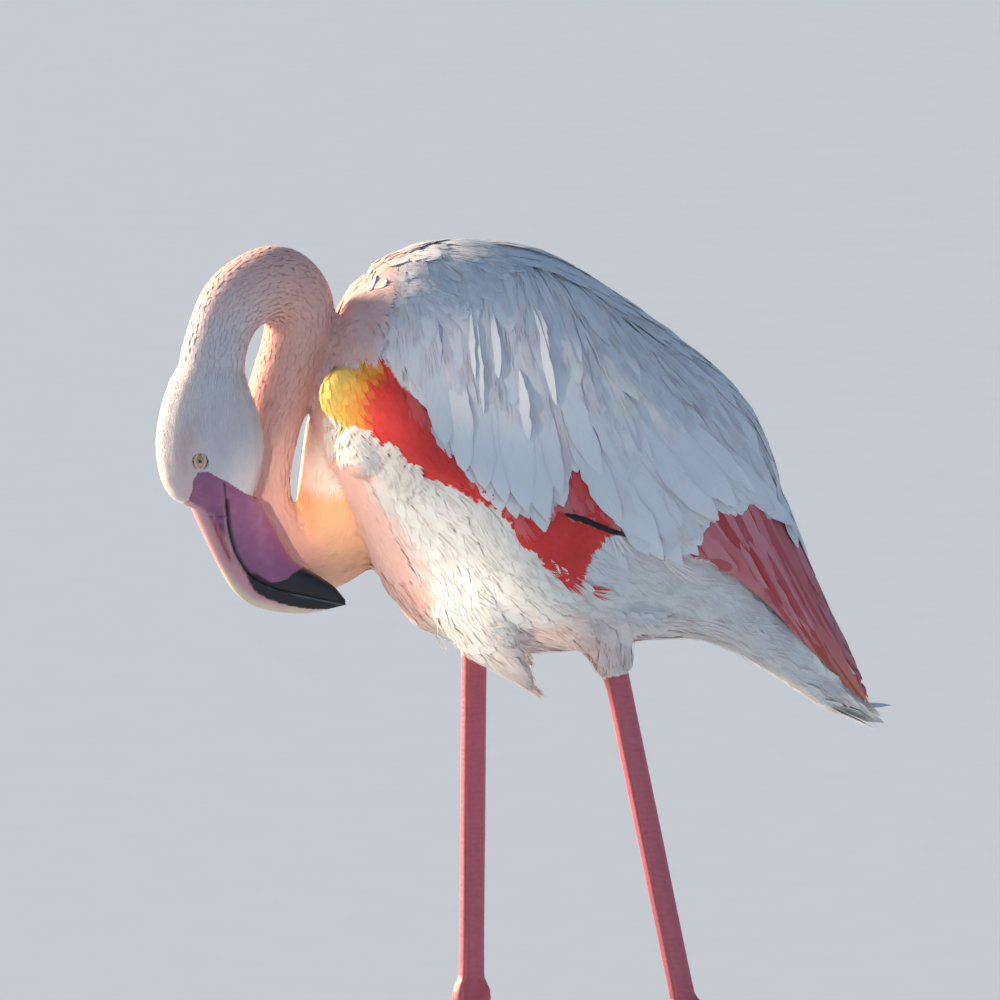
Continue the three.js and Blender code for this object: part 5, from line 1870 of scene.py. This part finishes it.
class FLAMINGO_OT_rear_wing(bpy.types.Operator):
    """Lays the long rose feathers of the folded rear wing"""
    bl_idname = "flamingo.rear_wing"
    bl_label = "Rear wing"

    def execute(self, context):
        surface = outline()
        rng = np.random.default_rng(51)
        rose, crimson, orange = shades("plumage", "rose crimson orange")

        def wanted(places):
            return within(places, "flight") & (places[:, 0] > 0.114) & (np.abs(places[:, 1]) > 0.004)

        roots, normals, reach = rooted(surface, wanted, 0.011, 52, WING_HEM, wing_lie, 0.012, 0.25)
        lengths = np.minimum(np.minimum(reach * 0.85, (0.250 - roots[:, 0]) * 1.4), 0.07)
        colours = mixed(rose, crimson * 0.6, 0.2 + 0.5 * rng.random(len(roots)))
        coat = Coat("rear_wing_feathers")
        add_vanes(coat, surface, roots, normals, lengths, 0.0065, colours, rng, proud=0.0, rings=10,
                  point=0.6, widest=0.5, camber=0.04, way=wing_lie, stiff=0.9)
        ends = np.array(REAR_FEATHERS, float)
        colours = mixed(rose, crimson * 0.6, ends[:, 5])
        tips = mixed(colours, mixed(rose, orange, 0.6), step_between(205, 245, ends[:, 2]) * 0.8)
        lengths = np.linalg.norm(ends[:, 2:4] - ends[:, :2], axis=1) * MM
        for sign in SIDES.values():
            add_vanes(coat, surface, None, None, lengths, ends[:, 4] * MM, colours, rng, tips=tips,
                      depth=0.001, proud=np.linspace(0.0008, 0.0022, len(ends)), rings=16, columns=7,
                      point=0.7, widest=0.5, camber=0.05, roll=0.02,
                      tracks=flank_tracks(surface, straight_lines(ends, -0.10), sign), late=5)
        coat.piece("rose_plumage", "rose_plumage", 0.8)
        return {"FINISHED"}


class FLAMINGO_OT_tail(bpy.types.Operator):
    """Lays the tail's pale feathers"""
    bl_idname = "flamingo.tail"
    bl_label = "Tail"

    def execute(self, context):
        surface = outline()
        rng = np.random.default_rng(61)
        roots, normals = scattered(surface, lambda places: within(places, "tail") & (places[:, 0] < 0.236),
                                   0.009, 62)
        clear = (normals[:, 2] < 0.1) | (roots[:, 0] > 0.215)
        roots, normals = roots[clear], normals[clear]
        lengths = np.clip((0.254 - roots[:, 0]) * 0.9, 0.010, 0.06)
        colours = markings(roots)
        coat = Coat("tail_feathers")
        add_vanes(coat, surface, roots, normals, lengths, 0.006, colours, rng, proud=0.0008, rings=11,
                  point=0.5, notch=0.3, camber=0.12, roll=0.12, stiff=0.85)
        coat.piece("rose_plumage", "tail_plumage")
        return {"FINISHED"}


class FLAMINGO_OT_cape(bpy.types.Operator):
    """Drapes the long white coverlets over the back and the wings"""
    bl_idname = "flamingo.cape"
    bl_label = "Coverlets"

    def execute(self, context):
        surface = outline()
        rng = np.random.default_rng(71)
        roots, normals, reach = rooted(surface, lambda places: within(places, "scapulars"), 0.0165, 72,
                                       CAPE_HEM, cape_lie, 0.016, front=CAPE_FRONT)
        x = roots[:, 0] / MM
        long = 0.095 + 0.040 * step_between(-40, 120, x)
        lengths = np.minimum(reach, long * rng.uniform(0.75, 1.2, len(reach)))
        half = np.interp(lengths, (0.02, 0.06, 0.12), (0.0075, 0.011, 0.0135))
        half = half * rng.uniform(0.8, 1.15, len(reach))
        colours = markings(roots)
        white, blush = shades("plumage", "white blush")
        tips = mixed(colours, white, 0.7)
        hem, bright = np.array(COVERLET_TIPS, float), np.array(BRIGHT_TIPS, float)
        for side, sign in SIDES.items():
            mine = np.sign(roots[:, 1]) == sign
            coat = Coat(f"cape_{side}")
            add_vanes(coat, surface, roots[mine], normals[mine], lengths[mine], half[mine], colours[mine],
                      rng, tips=tips[mine], rings=13, columns=7, point=0.35, widest=0.6, camber=0.02,
                      roll=0.02, way=cape_lie, thick=0.0003, jitter=0.0004)
            tracks = flank_tracks(surface, hanging_lines(hem), sign)
            under = np.tile(mixed(white, blush, 0.25), (len(hem), 1))
            add_vanes(coat, surface, None, None, hem[:, 2] * MM, hem[:, 3] * MM, under, rng,
                      tips=np.tile(white, (len(hem), 1)), depth=0.001, proud=0.0028, rings=18, columns=7,
                      point=0.35, widest=0.62, camber=0.05, tracks=tracks)
            # The narrow feathers on edge are painted a little paler than the white: painted sunlight.
            tracks = flank_tracks(surface, hanging_lines(bright), sign)
            add_vanes(coat, surface, None, None, bright[:, 2] * MM, bright[:, 3] * MM,
                      np.tile(white * 1.05, (len(bright), 1)), rng, depth=0.001, proud=0.0016, rings=14,
                      point=0.6, notch=0.2, camber=0.1, roll=0.05, tilt=0.8 * sign, tracks=tracks)
            coat.piece("shoulder_plumage", "cape_plumage", 0.9)

            roots_on, ups, reach_on = rooted(
                surface, lambda places: within(places, "scapulars") & (np.sign(places[:, 1]) == sign),
                0.0088, 73, CAPE_HEM, cape_lie, 0.008, front=CAPE_FRONT)
            coat = Coat(f"cape_silk_{side}")
            add_tufts(coat, surface, roots_on, ups,
                      np.minimum(reach_on, rng.uniform(0.03, 0.055, len(reach_on))), markings(roots_on),
                      rng, strands=11, fan=0.13, half=0.0005, lift=0.012, rings=4, steps=6, proud=0.0012,
                      way=cape_lie)
            coat.piece("shoulder_plumage", "cape_plumage", 0.92)
        self.mantle(surface)
        self.spine(surface)
        return {"FINISHED"}

    @staticmethod
    def spine(surface):
        """The feathers along the middle of the back, which close the parting between the wings."""
        rng = np.random.default_rng(77)

        def wanted(places):
            x, z = side_view(places)
            ridge = (np.abs(places[:, 1]) < 0.017) & (z > 846 - 0.95 * x) & (x > -50)
            return ridge & within(places, "scapulars", "trunk")

        roots, normals = scattered(surface, wanted, 0.0085, 78)
        lengths = rng.uniform(0.045, 0.065, len(roots))
        colours = mixed(markings(roots), np.array(settings("plumage").white), 0.5)
        coat = Coat("back_feathers")
        add_vanes(coat, surface, roots, normals, lengths, 0.0085, colours, rng, depth=0.0016, proud=0.0010,
                  roll=0.02, way=back_lie, thick=0.0003, jitter=0.0003)
        add_tufts(coat, surface, roots, normals, lengths, colours, rng, fan=0.16, lift=0.01, curl=0.05,
                  proud=0.0014, way=back_lie, ridge=0.15)
        coat.piece("shoulder_plumage", "cape_plumage", 0.85)

    @staticmethod
    def mantle(surface):
        """The shorter feathers over the top of the back, which lie over the roots of the cape."""
        rng = np.random.default_rng(75)

        def wanted(places):
            high = (places[:, 2] > 0.8) & (places[:, 0] > -0.104)
            return high & within(places, "scapulars", "trunk") & above(MANTLE_HEM, places)

        roots, normals, reach = rooted(surface, wanted, 0.0068, 76, MANTLE_HEM, mantle_lie, 0.007, 0.06)
        lengths = np.clip(reach + 0.006, 0.016, 0.036) * rng.uniform(0.7, 1.25, len(reach))
        white = np.array(settings("plumage").white)
        colours = mixed(markings(roots), white, 0.6)
        coat = Coat("mantle_feathers")
        add_vanes(coat, surface, roots, normals, lengths, rng.uniform(0.0052, 0.009, len(roots)), colours,
                  rng, tips=np.tile(white, (len(roots), 1)), depth=0.0018, proud=0.0003, point=0.45,
                  notch=0.3, way=mantle_lie, thick=0.0003, jitter=0.0003)
        add_tufts(coat, surface, roots, normals, lengths * 1.1, colours, rng, strands=9, curl=0.08,
                  proud=0.001, way=mantle_lie, ridge=0.15)
        coat.piece("shoulder_plumage", "cape_plumage")


# ---- Add-on ----

OPERATORS = (
    FLAMINGO_OT_stage, FLAMINGO_OT_skin, FLAMINGO_OT_bill, FLAMINGO_OT_eyes, FLAMINGO_OT_claws,
    FLAMINGO_OT_head_coat, FLAMINGO_OT_neck_coat, FLAMINGO_OT_down, FLAMINGO_OT_coverts,
    FLAMINGO_OT_rear_wing, FLAMINGO_OT_tail, FLAMINGO_OT_cape,
)
SETTINGS = {"plumage": FlamingoPlumage, "head": FlamingoHead, "legs": FlamingoLegs, "stage": FlamingoStage}


class FLAMINGO_PT_build(bpy.types.Panel):
    """Lists the bird's settings and the pieces it is made of"""
    bl_idname = "FLAMINGO_PT_build"
    bl_label = "Flamingo"
    bl_space_type = "VIEW_3D"
    bl_region_type = "UI"
    bl_category = "Flamingo"

    def draw(self, context):
        for part, group in SETTINGS.items():
            box = self.layout.box()
            box.label(text=part.capitalize())
            for name in group.__annotations__:
                box.prop(settings(part), name)
        for operator in OPERATORS:
            self.layout.operator(operator.bl_idname)


def register():
    for cls in (*SETTINGS.values(), *OPERATORS, FLAMINGO_PT_build):
        bpy.utils.register_class(cls)
    for part, group in SETTINGS.items():
        setattr(bpy.types.Scene, "flamingo_" + part, PointerProperty(type=group))


def unregister():
    for part in SETTINGS:
        delattr(bpy.types.Scene, "flamingo_" + part)
    for cls in reversed((*SETTINGS.values(), *OPERATORS, FLAMINGO_PT_build)):
        bpy.utils.unregister_class(cls)


def main():
    register()
    for operator in OPERATORS:
        group, name = operator.bl_idname.split(".")
        getattr(getattr(bpy.ops, group), name)()


if __name__ == "__main__":
    main()
